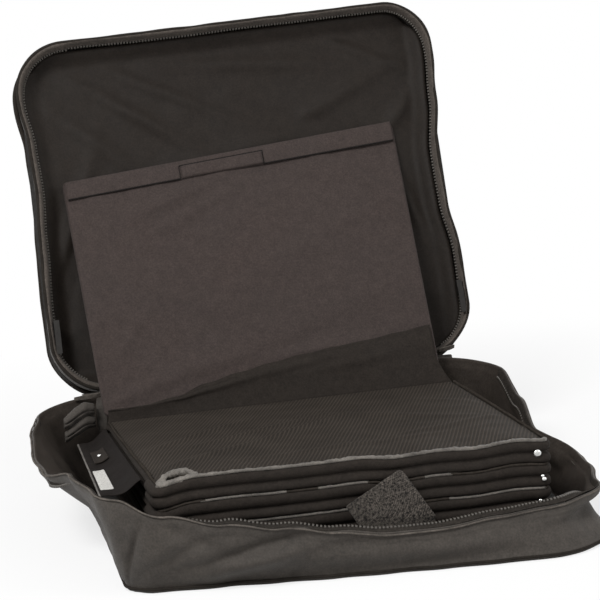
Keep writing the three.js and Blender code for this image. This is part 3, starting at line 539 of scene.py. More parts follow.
def wall_point(walked, share, depth=0.0, slack=1.0):
    """A point of the base's wall: share 0 is its foot and 1 its rim, depth goes into the bag."""
    side, t = along(walked)
    at, out = side_point(side, t)
    rim_z = (BACK_HEIGHT if side == "back" else SIDE_HEIGHT) * read(RIM[side], t)
    z = WALL_FOOT + (rim_z - WALL_FOOT) * share
    stand = FOOT * read(FOOT_OUT[side], t) * (1 - share) ** 2 + FLARE * read(LEAN_OUT[side], t) * share**2
    stand += BELLY * read(BULGE[side], t) * math.sin(math.pi * share) ** 2 - depth
    loose = slack * math.sin(math.pi * min(share * 0.55 + 0.06, 0.5)) * (1 - 0.85 * share**4)
    waves = 1.8 * ripple(at.x, at.y, z, 46, 1) + 1.0 * ripple(at.x, at.y, z, 17, 2)
    stand += loose * (crease_depth(walked, z) + waves)
    stand += 0.9 * ease(rim_z - HEM[0], rim_z - HEM[1], z)
    plan = at + out * stand
    sag = 0.5 * ripple(at.x, at.y, 0, 34, 3) * share**4
    return Vector((plan.x, plan.y, z + sag))


# %% [markdown]
# The sheet starts under the bag, a little inside its edge, turns up round the foot, and climbs to the
# rim. Its lower opening is closed with one flat face, which is the bag's underside.

# %% The shell
UNDER = 2.6
TURN_ROWS, WALL_ROWS, SHELL_COLUMNS = 5, 30, 520


def shell_point(u, v):
    row = v * (TURN_ROWS + WALL_ROWS)
    walked = u * ROUND
    if row >= TURN_ROWS:
        return wall_point(walked, FOOT_SHARE + (1 - FOOT_SHARE) * (row - TURN_ROWS) / WALL_ROWS)
    start, out = wall_point(walked, FOOT_SHARE), side_point(*along(walked))[1]
    angle = row / TURN_ROWS * math.pi / 2
    inward = UNDER * (1 - math.sin(angle))
    return Vector((start.x - out.x * inward, start.y - out.y * inward, start.z * (1 - math.cos(angle))))


bm = lay(shell_point, SHELL_COLUMNS, TURN_ROWS + WALL_ROWS, (ROUND, 110), ring=True)
low_edges = [e for e in bm.edges if e.is_boundary and max(v.co.z for v in e.verts) < 1e-4]
bmesh.ops.contextual_create(bm, geom=low_edges)
bmesh.ops.recalc_face_normals(bm, faces=bm.faces)
BASE_NODES = ("wall_left", "wall_front", "wall_right", "wall_back", "bag_floor")
finish_piece("bag_shell", bm, NYLON, "bag_base", BASE_NODES, thickness=2.4, smooth=0, inside=SHADED_INSIDE)

# %% [markdown]
# A stiff card lies on the bag's floor. The foot of the cloth has slid, so the card is drawn to the same
# outline, a little smaller, as an upright ring whose two open ends are closed with flat faces.

# %% Floor card
CARD_LOW, CARD_THICK, CARD_INSET = 2.6, 2.4, 7.0


def card_point(u, v):
    low = wall_point(u * ROUND, FOOT_SHARE, CARD_INSET, slack=0)
    return Vector((low.x, low.y, CARD_LOW + CARD_THICK * v))


bm = lay(card_point, 160, 1, (ROUND, 3), ring=True)
half_up = (CARD_LOW + CARD_THICK / 2) * MM
bmesh.ops.contextual_create(bm, geom=[e for e in bm.edges if e.is_boundary and e.verts[0].co.z < half_up])
bmesh.ops.contextual_create(bm, geom=[e for e in bm.edges if e.is_boundary])
bmesh.ops.recalc_face_normals(bm, faces=bm.faces)
finish_piece("floor_card", bm, CARD, "bag_base", ("floor_board",), smooth=0, crease=40)

# %% [markdown]
# ## The welt, the zip tape and the coil
# A welt is a cord sewn into the seam at the foot of the wall. The zip's tape is sewn inside the rim,
# so it lies behind the cloth's edge and tips down a little. The coil is a row of small teeth, and a
# few hundred of them have to stay light, so each is one cube with its edges left plain.

# %% Cords
UPRIGHT = Vector((0, 0, 1))


def tube_point(path, radius, walk):
    """Rolls a strip of cloth into a tube round a path that gives its centre, out and up."""

    def place(u, v):
        centre, out, up = path(u * walk)
        angle = -2 * math.pi * v
        return centre + out * (radius * math.cos(angle)) + up * (radius * math.sin(angle))

    return place


def cord(name, path, radius, size, steps, material, body, stands_for, sides=8):
    """A thin round cord, with closed ends unless it runs in a ring. size is its cloth, laid flat."""
    bm = lay(tube_point(path, radius, size[0]), steps, sides, size, ring=True)
    close_ends(bm)
    return finish_piece(name, bm, material, body, stands_for, smooth=0)


# %% Foot welt


def foot_path(walked):
    out = side_point(*along(walked))[1]
    low = wall_point(walked, FOOT_SHARE)
    wobble = 0.4 * ripple(low.x, low.y, 0, 20, 4)
    centre = Vector((low.x + out.x * (0.2 + wobble), low.y + out.y * (0.2 + wobble), 3.4 + wobble))
    return centre, out.to_3d(), UPRIGHT


cord("foot_welt", foot_path, 1.1, (ROUND, 7), 320, PIPING, "bag_base", ("floor_piping",))

# %% Base zip tape
ZIP_END = SIDE_LENGTHS["left"] + SIDE_LENGTHS["front"] + SIDE_LENGTHS["right"]
TAPE_WIDTH = 11.5


def rim_frame(walked):
    """The rim, the way out of the bag there, the side's name and the share walked along it."""
    side, t = along(min(max(walked, 0.01), ZIP_END - 0.01))
    return wall_point(walked, 1.0), side_point(side, t)[1], side, t


def base_tape_point(u, v):
    walked = u * ZIP_END
    rim, out, side, t = rim_frame(walked)
    lies_flat = ease(0.1, 0.3, t) * (1 - ease(0.86, 1.0, t)) if side == "front" else 0
    inward = 1.2 + (3.4 + 4.5 * lies_flat) * v
    dip = (-9.5 + 10.0 * lies_flat) * v * (0.5 + 0.5 * v) + 0.7 * ripple(walked, v * 8, 0, 20, 5) * v + 0.4
    return Vector((rim.x - out.x * inward, rim.y - out.y * inward, rim.z + dip))


bm = lay(base_tape_point, 300, 4, (ZIP_END, TAPE_WIDTH))
finish_piece(
    "base_zip_tape_cloth", bm, RIM_TAPE, "bag_base", ("base_zip_tape",), thickness=0.9, offset=1,
)

# %% [markdown]
# Along the rim the cloth is folded over the tape, and the fold catches the light. It reads as a thin
# bright line, so it is made as a cord that follows the rim and wanders a little, with its highlight painted
# in a pale cloth.

# %% The folded edge of the rim


def rim_fold_path(walked):
    rim, out, side, t = rim_frame(walked)
    wobble = 0.5 * ripple(walked, 0, 0, 14, 36)
    rise = 0.4 + wobble - 1.6 * ease(430, 470, walked)
    return rim + Vector((out.x * (0.5 + wobble), out.y * (0.5 + wobble), rise)), out.to_3d(), UPRIGHT


cord("rim_folded_edge", rim_fold_path, 0.75, (ZIP_END, 5), 600, FOLD_HIGHLIGHT, "bag_base", ())

# %% A row of teeth
TOOTH_PITCH, TOOTH = 2.9, (1.5, 2.8, 2.2)


def frame_along(spot, run, up):
    """A matrix at spot with its first axis along run and its third near up."""
    aside = up.cross(run).normalized()
    return Matrix.Translation(spot) @ Matrix((run, aside, run.cross(aside))).transposed().to_4x4()


def teeth_row(place_at, length):
    """Small cubes along a path. place_at(distance) gives a matrix in millimetres."""
    bm = bmesh.new()
    for number in range(int(length / TOOTH_PITCH)):
        matrix = place_at(TOOTH_PITCH * (number + 0.5))
        bmesh.ops.create_cube(bm, size=1.0, matrix=matrix @ Matrix.Diagonal((*TOOTH, 1.0)))
    bmesh.ops.transform(bm, matrix=Matrix.Scale(MM, 4), verts=bm.verts)
    side_on_uv(bm)
    return bm


def base_tooth(walked):
    edge = base_tape_point(walked / ZIP_END, 1.0)
    ahead = base_tape_point(min(walked / ZIP_END + 0.002, 1.0), 1.0)
    behind = base_tape_point(max(walked / ZIP_END - 0.002, 0.0), 1.0)
    return frame_along(edge + UPRIGHT * 0.9, (ahead - behind).normalized(), UPRIGHT)


bm = teeth_row(base_tooth, ZIP_END)
finish_piece("base_zip_coil", bm, COIL, "bag_base", ("base_zip_teeth",), smooth=0)

# %% [markdown]
# ## The lid
# The lid is a shallow tray that leans back from its hinge. It is made in its own plane: across, up the
# slope from the hinge, and forward out of the tray. A soft lid never stays a true rectangle: this one
# has slumped to its left, so its top edge runs uphill to the right, and its long sides are drawn in a
# little at half height. One function carries every point of the lid into place, so that the shell, its
# piping, tape, teeth and lining all slump together.

# %% Measures of the lid
LID_LENGTH, LID_START, LID_DEPTH, LID_LEAN = 338, 3, 30, math.radians(20)
HINGE = Vector((0, 170, 88))
LID_UP = Vector((0, math.sin(LID_LEAN), math.cos(LID_LEAN)))
LID_FORWARD = Vector((0, -math.cos(LID_LEAN), math.sin(LID_LEAN)))
SLUMP, STRETCH = 0.051, -0.6
DRAWN_IN = {"left": [9, 6, 5, 6, 8, 6, 0, 0], "right": [9, 6, 6, 12, 13, 7, 4, 5]}


def lid_point(x, up, forward):
    """A point of the lid, slumped, in the bag's frame."""
    height = up / LID_LENGTH
    drawn = read(DRAWN_IN["left" if x < 0 else "right"], height) * min(abs(x) / 190, 1) ** 2
    drawn = math.copysign(drawn, -x)
    lift = (SLUMP * x + STRETCH) * ease(0.1, 1.0, height)
    return HINGE + Vector((x + drawn, 0, 0)) + LID_UP * (up + lift) + LID_FORWARD * forward


LID_SPAN = LID_LENGTH - LID_START
LID_MIDDLE = LID_START + LID_SPAN / 2
LID_STRAIGHT = LID_SPAN / 2 - CORNER
LID_ROUND = 4 * (STRAIGHT_X + LID_STRAIGHT + CORNER_ARC)


# %% Walking round the lid


def lid_outline(walked):
    """A point of the outline and the way out, from the left of the hinge side, round by the right."""
    walked %= LID_ROUND
    for number, (reach, half) in enumerate(2 * ((STRAIGHT_X, LID_STRAIGHT), (LID_STRAIGHT, STRAIGHT_X))):
        turned = number * math.pi / 2
        run = Vector((math.cos(turned), math.sin(turned)))
        out = Vector((run.y, -run.x))
        if walked < 2 * reach:
            return run * (walked - reach) + out * (half + CORNER), out
        walked -= 2 * reach
        if walked < CORNER_ARC:
            angle = turned - math.pi / 2 + walked / CORNER
            return round_corner(*(run * reach + out * half), CORNER, angle)
        walked -= CORNER_ARC
    return Vector((-STRAIGHT_X, -LID_STRAIGHT - CORNER)), Vector((0, -1))


def lid_edge(walked, inset, forward):
    at, out = lid_outline(walked)
    plan = at - out * inset
    return lid_point(plan.x, LID_MIDDLE + plan.y, forward)


print("round the lid", round(LID_ROUND), "mm")

# %% [markdown]
# The lid's shell is laid like the base: from under the panel's edge, round the bend, and forward up the
# gusset to the rim. The panel itself is then closed and gridded with bisecting planes, so that it can
# bulge and crumple a little between its board and its seams.

# %% Lid shell
GUSSET_ROWS, BEND_ROWS, BEND = 7, 4, 5.0
LID_BACK, LID_RIM = -LID_DEPTH, -1.8


def lid_shell_point(u, v):
    row = v * (GUSSET_ROWS + BEND_ROWS)
    walked = u * LID_ROUND
    if row <= BEND_ROWS:
        angle = row / BEND_ROWS * math.pi / 2
        return lid_edge(walked, BEND * (1 - math.sin(angle)), LID_BACK + BEND * (1 - math.cos(angle)))
    share = (row - BEND_ROWS) / GUSSET_ROWS
    forward = LID_BACK + BEND + (LID_RIM - LID_BACK - BEND) * share
    soft = 1.2 + 1.6 * ripple(walked, share * 12, 0, 45, 6) + 0.8 * ripple(walked, share * 12, 0, 14, 7)
    return lid_edge(walked, 0.6 - math.sin(math.pi * share) * soft, forward)


def forward_of(vert):
    """How far forward of the hinge's plane a point in metres lies, in millimetres."""
    return (vert.co / MM - HINGE).dot(LID_FORWARD)


bm = lay(lid_shell_point, 280, GUSSET_ROWS + BEND_ROWS, (LID_ROUND, 36), ring=True)
back_edges = [e for e in bm.edges if e.is_boundary and all(forward_of(v) < LID_BACK + 0.5 for v in e.verts)]
bmesh.ops.contextual_create(bm, geom=back_edges)

# %% The lid's puffed panel
CUTS = 16
for step in range(1, CUTS):
    for axis, low, high in ((Vector((1, 0, 0)), -0.2, 0.2), (LID_UP, 0.003, 0.338)):
        start = HINGE * MM + axis * (low + (high - low) * step / CUTS)
        flat = [f for f in bm.faces if abs(f.normal.dot(LID_FORWARD)) > 0.999]
        geom = list({e for f in flat for e in f.edges} | {v for f in flat for v in f.verts}) + flat
        bmesh.ops.bisect_plane(bm, geom=geom, plane_co=start, plane_no=axis)
for vert in bm.verts:
    if forward_of(vert) < LID_BACK + 0.4:
        offset = vert.co / MM - HINGE
        x, up = offset.x, offset.dot(LID_UP)
        from_edge = min(up, LID_LENGTH - up) - 4
        inside = min(max((196 - abs(x)) / 40, 0), 1) * min(max(from_edge / 40, 0), 1)
        puff = inside * (2.0 + 1.4 * ripple(x, up, 0, 70, 8) + 0.6 * ripple(x, up, 0, 22, 9))
        vert.co -= LID_FORWARD * (puff * MM)
bmesh.ops.recalc_face_normals(bm, faces=bm.faces)
finish_piece("lid_shell", bm, NYLON, "lid", ("lid_panel", "lid_gusset"), thickness=2.2)

# %% [markdown]
# Round the panel's edge runs a bound piping, and round the rim lie the zip's tape and coil. The tape
# turns both lower corners and dies under the hinge, so it is a little longer than the coil.

# %% Lid piping and rim cord


def lid_way_out(walked):
    return (lid_edge(walked, -3.0, 0) - lid_edge(walked, 0, 0)).normalized()


def lid_pipe(walked):
    wobble = 0.5 * ripple(walked, 0, 0, 26, 10)
    return lid_edge(walked, -1.5 - wobble, LID_BACK + 3.0 + wobble), lid_way_out(walked), LID_FORWARD


def lid_rim_pipe(walked):
    wobble = 0.5 * ripple(walked, 0, 0, 20, 35)
    return lid_edge(walked, 0.1 - wobble, LID_RIM + 0.6 + wobble), lid_way_out(walked), LID_FORWARD


cord("lid_piping_cord", lid_pipe, 2.3, (LID_ROUND, 14), 320, PIPING, "lid", ("lid_piping",))
cord("lid_rim_cord", lid_rim_pipe, 1.7, (LID_ROUND, 10.2), 320, PIPING, "lid", ())

# %% Lid zip tape and coil
TAPE_TAIL, COIL_MARGIN = 42, 60
TAPE_START = 2 * STRAIGHT_X - TAPE_TAIL
TAPE_END = LID_ROUND + TAPE_TAIL
TAPE_LENGTH = TAPE_END - TAPE_START


def lid_tape_point(u, v):
    walked = TAPE_START + TAPE_LENGTH * u
    face = min(v / 0.45, 1.0)
    turned = max(v - 0.45, 0) / 0.55
    wide = 3.0 + 1.6 * ripple(walked, 0, 0, 60, 33) + (1.4 if lid_outline(walked)[0].x < -150 else 0)
    soft = 0.5 * ripple(walked, 9 * v, 0, 15, 11)
    forward = -1.2 + 1.6 * math.sin(math.pi * face) ** 0.7 - 7.0 * turned + soft
    return lid_edge(walked, -0.2 + wide * face + 1.6 * turned, forward)


bm = lay(lid_tape_point, 300, 6, (TAPE_LENGTH, 12))
finish_piece("lid_zip_tape_cloth", bm, TAPE, "lid", ("lid_zip_tape",), thickness=1.0, offset=-1)


def lid_tooth(walked):
    share = (walked + COIL_MARGIN) / TAPE_LENGTH
    run = (lid_tape_point(share + 0.002, 1.0) - lid_tape_point(share - 0.002, 1.0)).normalized()
    return frame_along(lid_tape_point(share, 1.0) - LID_FORWARD * 0.2, run, LID_FORWARD)


bm = teeth_row(lid_tooth, TAPE_LENGTH - 2 * COIL_MARGIN)
finish_piece("lid_zip_coil", bm, COIL, "lid", ("lid_zip_teeth",), smooth=0)

# %% [markdown]
# The lining is a loose sheet glued only at its edges, so it crumples: long folds run down from the
# upper corners, and small ones gather along the left side.

# %% Folds in a sheet
# Across, up, slope, half length, half width, height of each fold in millimetres.
LINING_FOLDS = [
    (-90, 262, -0.75, 60, 7, 3.0), (-60, 282, -0.55, 70, 6, 2.2),
    (-128, 236, -0.9, 50, 8, 2.6), (30, 300, -0.12, 90, 7, 2.0),
    (110, 262, 0.45, 60, 8, 2.6), (150, 220, 1.1, 60, 7, 3.0),
    (-160, 180, 2.6, 60, 8, 3.2), (-172, 120, 3.2, 60, 7, -2.2),
    (168, 150, -2.5, 70, 8, 3.0), (60, 240, -0.3, 60, 9, -1.8),
    (-20, 214, 0.2, 80, 10, 1.8), (130, 300, -0.5, 40, 6, 2.2),
]


def fold_height(folds, x, y):
    """The height of all the folds together at one spot of a sheet."""
    total = 0.0
    for at_x, at_y, slope, half_length, half_width, height in folds:
        length = math.hypot(1, slope)
        run = ((x - at_x) + (y - at_y) * slope) / length
        across = ((y - at_y) - (x - at_x) * slope) / length
        total += height * math.exp(-((across / half_width) ** 2) - (run / half_length) ** 2)
    return total


def squircle(u, v, half_x, half_y, corner):
    """Carries a square grid onto a rectangle with rounded corners."""
    x, y = (2 * u - 1) * half_x, (2 * v - 1) * half_y
    past_x, past_y = max(abs(x) - half_x + corner, 0), max(abs(y) - half_y + corner, 0)
    if past_x and past_y:
        shrink = max(past_x, past_y) / math.hypot(past_x, past_y)
        x -= math.copysign(past_x * (1 - shrink), x)
        y -= math.copysign(past_y * (1 - shrink), y)
    return x, y


# %% Lid lining
LINING_HALF_X, LINING_HALF_Y = 195, LID_SPAN / 2 - 5


def lining_point(u, v):
    x, y = squircle(u, v, LINING_HALF_X, LINING_HALF_Y, 40)
    up, in_x, in_y = LID_MIDDLE + y, LINING_HALF_X - abs(x), LINING_HALF_Y - abs(y)
    edge = min(ease(0, 26, in_x), ease(0, 26, in_y))
    loose = (
        1.5 * fold_height(LINING_FOLDS, x, up) + 1.0 * ripple(x, up, 0, 60, 12)
        + 0.7 * ripple(x, up, 0, 20, 13)
    )
    turned_up = 9.0 * (1 - ease(0, 16, min(in_x, in_y)))
    return lid_point(x, up, -22.4 + max(loose, -1.0) * edge + turned_up)


bm = lay(lining_point, 130, 110, (2 * LINING_HALF_X, LID_SPAN - 10))
lining = finish_piece(
    "lid_lining_cloth", bm, LINING, "lid", ("lid_lining",), thickness=0.6, smooth=0,
)

# %% [markdown]
# ## The fabric hinge
# The lid has no metal hinge. A strip of the shell's nylon crosses from the back wall to the lid, and
# at each end it gathers into a soft roll. The strip belongs to both parts: its lower edge lies on the
# base, its upper edge on the lid, and the cloth between turns smoothly.


def hinge_point(u, v):
    x = -172 + 344 * u
    end = ease(0, 30, 172 - abs(x))
    low, knee = Vector((x, 172.4, 66)), Vector((x, 173.2, 86.5))
    high = HINGE + Vector((x, 0, 0)) + LID_UP * 1.5 + LID_FORWARD * (-17)
    at = low.lerp(knee, v * 2) if v < 0.5 else knee.lerp(high, v * 2 - 1)
    bow = math.sin(math.pi * v) * (1.5 + 1.2 * ripple(x, v * 30, 0, 24, 14)) * end
    return at + Vector((0, bow, 0))


bm = lay(hinge_point, 90, 12, (344, 40))
hinge_cloth = finish_piece(
    "hinge_cloth", bm, NYLON, None, ("bag_hinge_fabric",), thickness=1.2, offset=1,
)
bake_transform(hinge_cloth)


# %% [markdown]
# At the hinge's left end two thick folds of nylon lie one on the other in the corner, with a loose tab
# and the cut ends of the zip's tape. The folds are short, fat tubes with uneven sides, and the ends are
# narrow strips that bow out a little. The left one is sewn to both parts.

# %% Rolls at the hinge's end


def end_roll(name, height, radius, reach):
    """One fold of nylon gathered at the left end of the hinge, in the corner of the base."""

    def place(u, v):
        rise = 2 * math.sin(math.pi * u) - 8 * ease(0.2, 1, u)
        centre = Vector((-163 - 31 * u, 147 - 14 * u, height + rise))
        round_end = math.sin(math.pi * (0.05 + 0.90 * u)) ** 0.3
        size = radius * round_end * (1 + 0.22 * ripple(u * 40, v * 20, height, 9, 15))
        angle = -2 * math.pi * v
        return centre + Vector((0, -reach * size * math.cos(angle), size * math.sin(angle)))

    bm = lay(place, 22, 18, (36, 48), ring=True)
    close_ends(bm)
    return finish_piece(name, bm, NYLON, "bag_base", ())


end_roll("hinge_roll_upper", 78.5, 6.8, 1.1)
end_roll("hinge_roll_lower", 67, 6.8, 1.15)


# %% Short ends of tape and cloth


def short_strip(name, ends, up, material, body):
    """A short folded strip between two ends, as wide as up, in millimetres."""
    start, end = Vector(ends[0]), Vector(ends[1])
    up = Vector(up)

    def place(u, v):
        bow = 1.6 * math.sin(math.pi * u) + 0.8 * ripple(u * 30, v * 8, start.x, 7, 42)
        across = up * (v - 0.5) * (0.7 + 0.3 * math.sin(math.pi * u))
        return start.lerp(end, u) + across + Vector((0, -bow, 0))

    bm = lay(place, 24, 8, ((end - start).length, up.length))
    return finish_piece(name, bm, material, body, (), thickness=1.0, offset=0)


tape_end = short_strip(
    "tape_end_left", ((-180, 165, 85.5), (-153, 165, 88)), (0, -1, 4.4), FOLD_HIGHLIGHT, None,
)
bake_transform(tape_end)
short_strip("tape_end_right", ((158, 167, 94), (173, 167, 96)), (0, -2, 4.6), FOLD_HIGHLIGHT, "lid")
short_strip("hinge_tab", ((-158, 150, 56), (-157, 158, 86)), (10, 0, 0), NYLON, "bag_base")

# %% [markdown]
# ## The strap's end
# The end of the closing strap stands up behind the front rim. Its face is the loop side of a hook and
# loop fastener, a fuzzy pile, so the weave is coarse and the surface uneven. It is cut square and was
# sewn on a slant. The strap bends at the rim, so one sheet runs from the base up into the strap.

# %% Strap
STRAP_HINGE, STRAP_LEAN = Vector((0, -161, 40)), math.radians(13)
STRAP_UP = Vector((0, math.sin(STRAP_LEAN), math.cos(STRAP_LEAN)))
STRAP_FRONT = Vector((0, -math.cos(STRAP_LEAN), math.sin(STRAP_LEAN)))
# Left and right end of each level, across and up from the fold.
STRAP_FOOT = (Vector((5.9, -16)), Vector((58.0, -16)))
STRAP_WAIST = (Vector((-2.4, 0)), Vector((59.0, -4)))
STRAP_TOP = (Vector((-8.5, 11.0)), Vector((37.0, 34.2)))


def strap_point(u, v):
    x, y = squircle(u, v, 0.5, 0.5, 0.06)
    u, v = x + 0.5, y + 0.5
    low, waist, high = (left.lerp(right, u) for left, right in (STRAP_FOOT, STRAP_WAIST, STRAP_TOP))
    at = low.lerp(waist, v / 0.4) if v < 0.4 else waist.lerp(high, (v - 0.4) / 0.6)
    soft = 0.5 * ripple(at.x, at.y, 0, 14, 16) + 0.35 * ripple(at.x, at.y, 0, 5, 17)
    curl = 1.6 * ease(0.75, 1.0, v) * ease(0.3, 1.0, u)
    if at.y < 0:
        return STRAP_HINGE + Vector((at.x, -soft, at.y))
    return STRAP_HINGE + Vector((at.x, 0, 0)) + STRAP_UP * at.y + STRAP_FRONT * (soft - 0.2 - curl)


bm = lay(strap_point, 44, 40, (54, 52))
strap_cloth = finish_piece(
    "strap_cloth", bm, LOOPS, None, ("strap_tab", "strap_root"), thickness=2.2, offset=-1,
)
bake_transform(strap_cloth)

# %% [markdown]
# ## The folded rack
# Eight fabric boards lie in a zigzag. Each is a stiff card in a padded cover, so its faces are nearly
# flat and its edges are round. The photo shows the pile fanned a little on the left, as loose boards
# settle, so a shift that grows towards the top is added to every piece of the rack. Every second board
# carries a mesh pocket with a crinkled satin binding along its mouth. A cloth wrap joins each pair
# along the front and gives the pair its two dark ridges.

# %% Where a board lies
RACK_FRONT, RACK_BACK, RACK_HALF_X, BOARD_THICK, BOARD_CORNER = -144, 128, 156, 6.4, 9
FIRST_MIDDLE, FRONT_PITCH, BACK_PITCH = 9.3, 9.3, 8
# How far the top of the pile has slid at each corner, and how far its front edge bows up.
SHIFT = {
    "front_left": Vector((9, 0, 0)), "front_right": Vector((1.5, -1, 0)),
    "back_left": Vector((-3, 0, 0.5)), "back_right": Vector((8, 2, 4)),
}
FRONT_BOW = [-1, 4, 4.2, 3.2, 3.0, 3.4, 0.5, 1.8, 0.2, 2.4, 0]


def settle(point):
    """Moves a point of the rack by the pile's small shift at its height and corner."""
    share = ease(0, 75, point.z) * 0.85 + 0.15 * math.sin(point.z * 0.34) * ease(0, 20, point.z)
    u = min(max((point.x + RACK_HALF_X) / (2 * RACK_HALF_X), 0), 1)
    v = min(max((point.y - RACK_FRONT) / (RACK_BACK - RACK_FRONT), 0), 1)
    front = SHIFT["front_left"].lerp(SHIFT["front_right"], u)
    back = SHIFT["back_left"].lerp(SHIFT["back_right"], u)
    bow = read(FRONT_BOW, u) * (1 - v) ** 2 * min(share, 1)
    return point + front.lerp(back, v) * share + Vector((0, 0, bow))


def middle_height(board, y):
    front, back = FIRST_MIDDLE + FRONT_PITCH * (board - 1), FIRST_MIDDLE + BACK_PITCH * (board - 1)
    return front + (back - front) * (y - RACK_FRONT) / (RACK_BACK - RACK_FRONT)


def on_board(board, x, y, above):
    return settle(Vector((x, y, middle_height(board, y) + above)))


# %% [markdown]
# A padded board is two grids, one for each face, welded round the edge. Near the edge the pad thins in
# a quarter circle, and the grid's lines are drawn closer there, where the shape turns.

# %% Padded boards


def even_edges(u, edge=0.12):
    """Brings the grid's lines closer together near both ends, where a pad curves."""
    return u - edge * math.sin(4 * math.pi * u) / (2 * math.pi)


def pad_profile(distance, half, rounding):
    """Half the thickness of a pad at a distance from its edge."""
    t = min(distance / rounding, 1.0)
    return half * math.sqrt(max(1 - (1 - t) ** 2, 0))


def two_faces(face_point, columns, rows, size):
    """A closed pad from two grids, face_point(u, v, side) with side 1 on top and -1 below."""
    bm = lay(lambda u, v: face_point(u, v, 1), columns, rows, size)
    low = lay(lambda u, v: face_point(u, v, -1), columns, rows, size)
    mesh = bpy.data.meshes.new("lower_face")
    low.to_mesh(mesh)
    low.free()
    bm.from_mesh(mesh)
    bpy.data.meshes.remove(mesh)
    bmesh.ops.remove_doubles(bm, verts=bm.verts, dist=WELD)
    bmesh.ops.recalc_face_normals(bm, faces=bm.faces)
    return bm


def board_face(board):
    half_y = (RACK_BACK - RACK_FRONT) / 2

    def face(u, v, side):
        x, y = squircle(even_edges(u), even_edges(v), RACK_HALF_X - 0.3, half_y - 0.3, BOARD_CORNER)
        distance = min(RACK_HALF_X - 0.3 - abs(x), half_y - 0.3 - abs(y))
        half = pad_profile(max(distance, 0), BOARD_THICK / 2 - 0.15, 3.4)
        quilt = 0.25 * ripple(x, y, board * 31, 26, 18) * min(distance / 20, 1)
        return on_board(board, x, y + (RACK_FRONT + RACK_BACK) / 2, side * (half + min(quilt, 0.15)))

    return face


for board in range(1, 9):
    bm = two_faces(board_face(board), 54, 48, (312, 272))
    pad = finish_piece(
        f"board_pad_{board}", bm, BOARD_CLOTH, f"rack_{board}", (f"rack_board_{board}",),
    )

# %% [markdown]
# The mesh is cut as a flat panel and held on three sides, so it hangs a little loose. On the top board
# diagonal creases cross it. The lower ones are pressed flat.

# %% Mesh pockets
BOARD_TOP = BOARD_THICK / 2 + 0.35
NET_HALF_X, NET_FRONT, NET_BACK = 151, -139.5, 125
NET_FOLDS = [
    (-70, 40, 0.9, 80, 5, 2.2), (-20, -10, 0.8, 90, 5, 2.0), (-40, 10, 0.6, 70, 4, 1.6),
    (30, 70, 0.7, 60, 5, 1.6), (50, 20, -0.7, 90, 8, 1.5), (90, -60, 0.35, 60, 6, 1.2),
    (-100, -70, 0.6, 50, 6, 1.4), (10, -90, 0.15, 90, 6, 1.2),
    (110, 60, -1.2, 50, 7, 1.2), (-30, 80, -0.4, 80, 7, 1.3),
]


def net_point(board, loose):
    """The net on a board. Towards the back, where the header lies when the lid is shut, it is flat."""

    def place(u, v):
        x, y = (2 * u - 1) * NET_HALF_X, NET_FRONT + (NET_BACK - NET_FRONT) * v
        edge = ease(0, 14, NET_HALF_X - abs(x)) * ease(0, 10, y - NET_FRONT)
        lift = (
            fold_height(NET_FOLDS, x, y) + 0.8 + 0.9 * ripple(x, y, 0, 55, 19)
            + 0.35 * ripple(x, y, 0, 16, 20)
        )
        pressed = 1 - 0.95 * ease(15, 80, y)
        return on_board(board, x, y, BOARD_TOP + loose * edge * max(lift, 0) * pressed + 0.1)

    return place


for board, columns, loose in ((8, 150, 1.0), (6, 40, 0.1), (4, 40, 0.1), (2, 40, 0.1)):
    bm = lay(net_point(board, loose), columns, columns, (302, NET_BACK - NET_FRONT))
    name, node = f"pocket_net_{board}", f"mesh_pocket_{board}"
    net = finish_piece(name, bm, NET, f"rack_{board}", (node,), thickness=0.5, offset=1, smooth=0)

# %% [markdown]
# The binding is a satin ribbon folded over the pocket's mouth. Ribbon puckers between its stitches, so
# its surface is raised in small irregular crinkles that catch the light.

# %% The ribbon's path
BINDING_X, BINDING_FRONT, BINDING_WIDE, BINDING_TURN = 155, -144.6, 4.4, 6


def binding_path(walked, length):
    """The centre of the ribbon: up the left end, round two corners and up the right end."""
    side, front, arc = length
    half = BINDING_WIDE / 2
    x, y = BINDING_X - half - BINDING_TURN, BINDING_FRONT + half + BINDING_TURN
    if walked < side:
        return Vector((-x - BINDING_TURN, y + side - walked)), Vector((-1, 0))
    walked -= side
    if walked < arc:
        return round_corner(-x, y, BINDING_TURN, math.pi + walked / BINDING_TURN)
    walked -= arc
    if walked < front:
        return Vector((-x + walked, y - BINDING_TURN)), Vector((0, -1))
    walked -= front
    if walked < arc:
        return round_corner(x, y, BINDING_TURN, 1.5 * math.pi + walked / BINDING_TURN)
    return Vector((x + BINDING_TURN, y + walked - arc)), Vector((1, 0))


BINDING_FRONT_RUN = 2 * (BINDING_X - BINDING_WIDE / 2 - BINDING_TURN)
BINDING_LENGTHS = (258.0, BINDING_FRONT_RUN, BINDING_TURN * math.pi / 2)
BINDING_LENGTH = 2 * BINDING_LENGTHS[0] + BINDING_LENGTHS[1] + 2 * BINDING_LENGTHS[2]

# %% Crinkled bindings


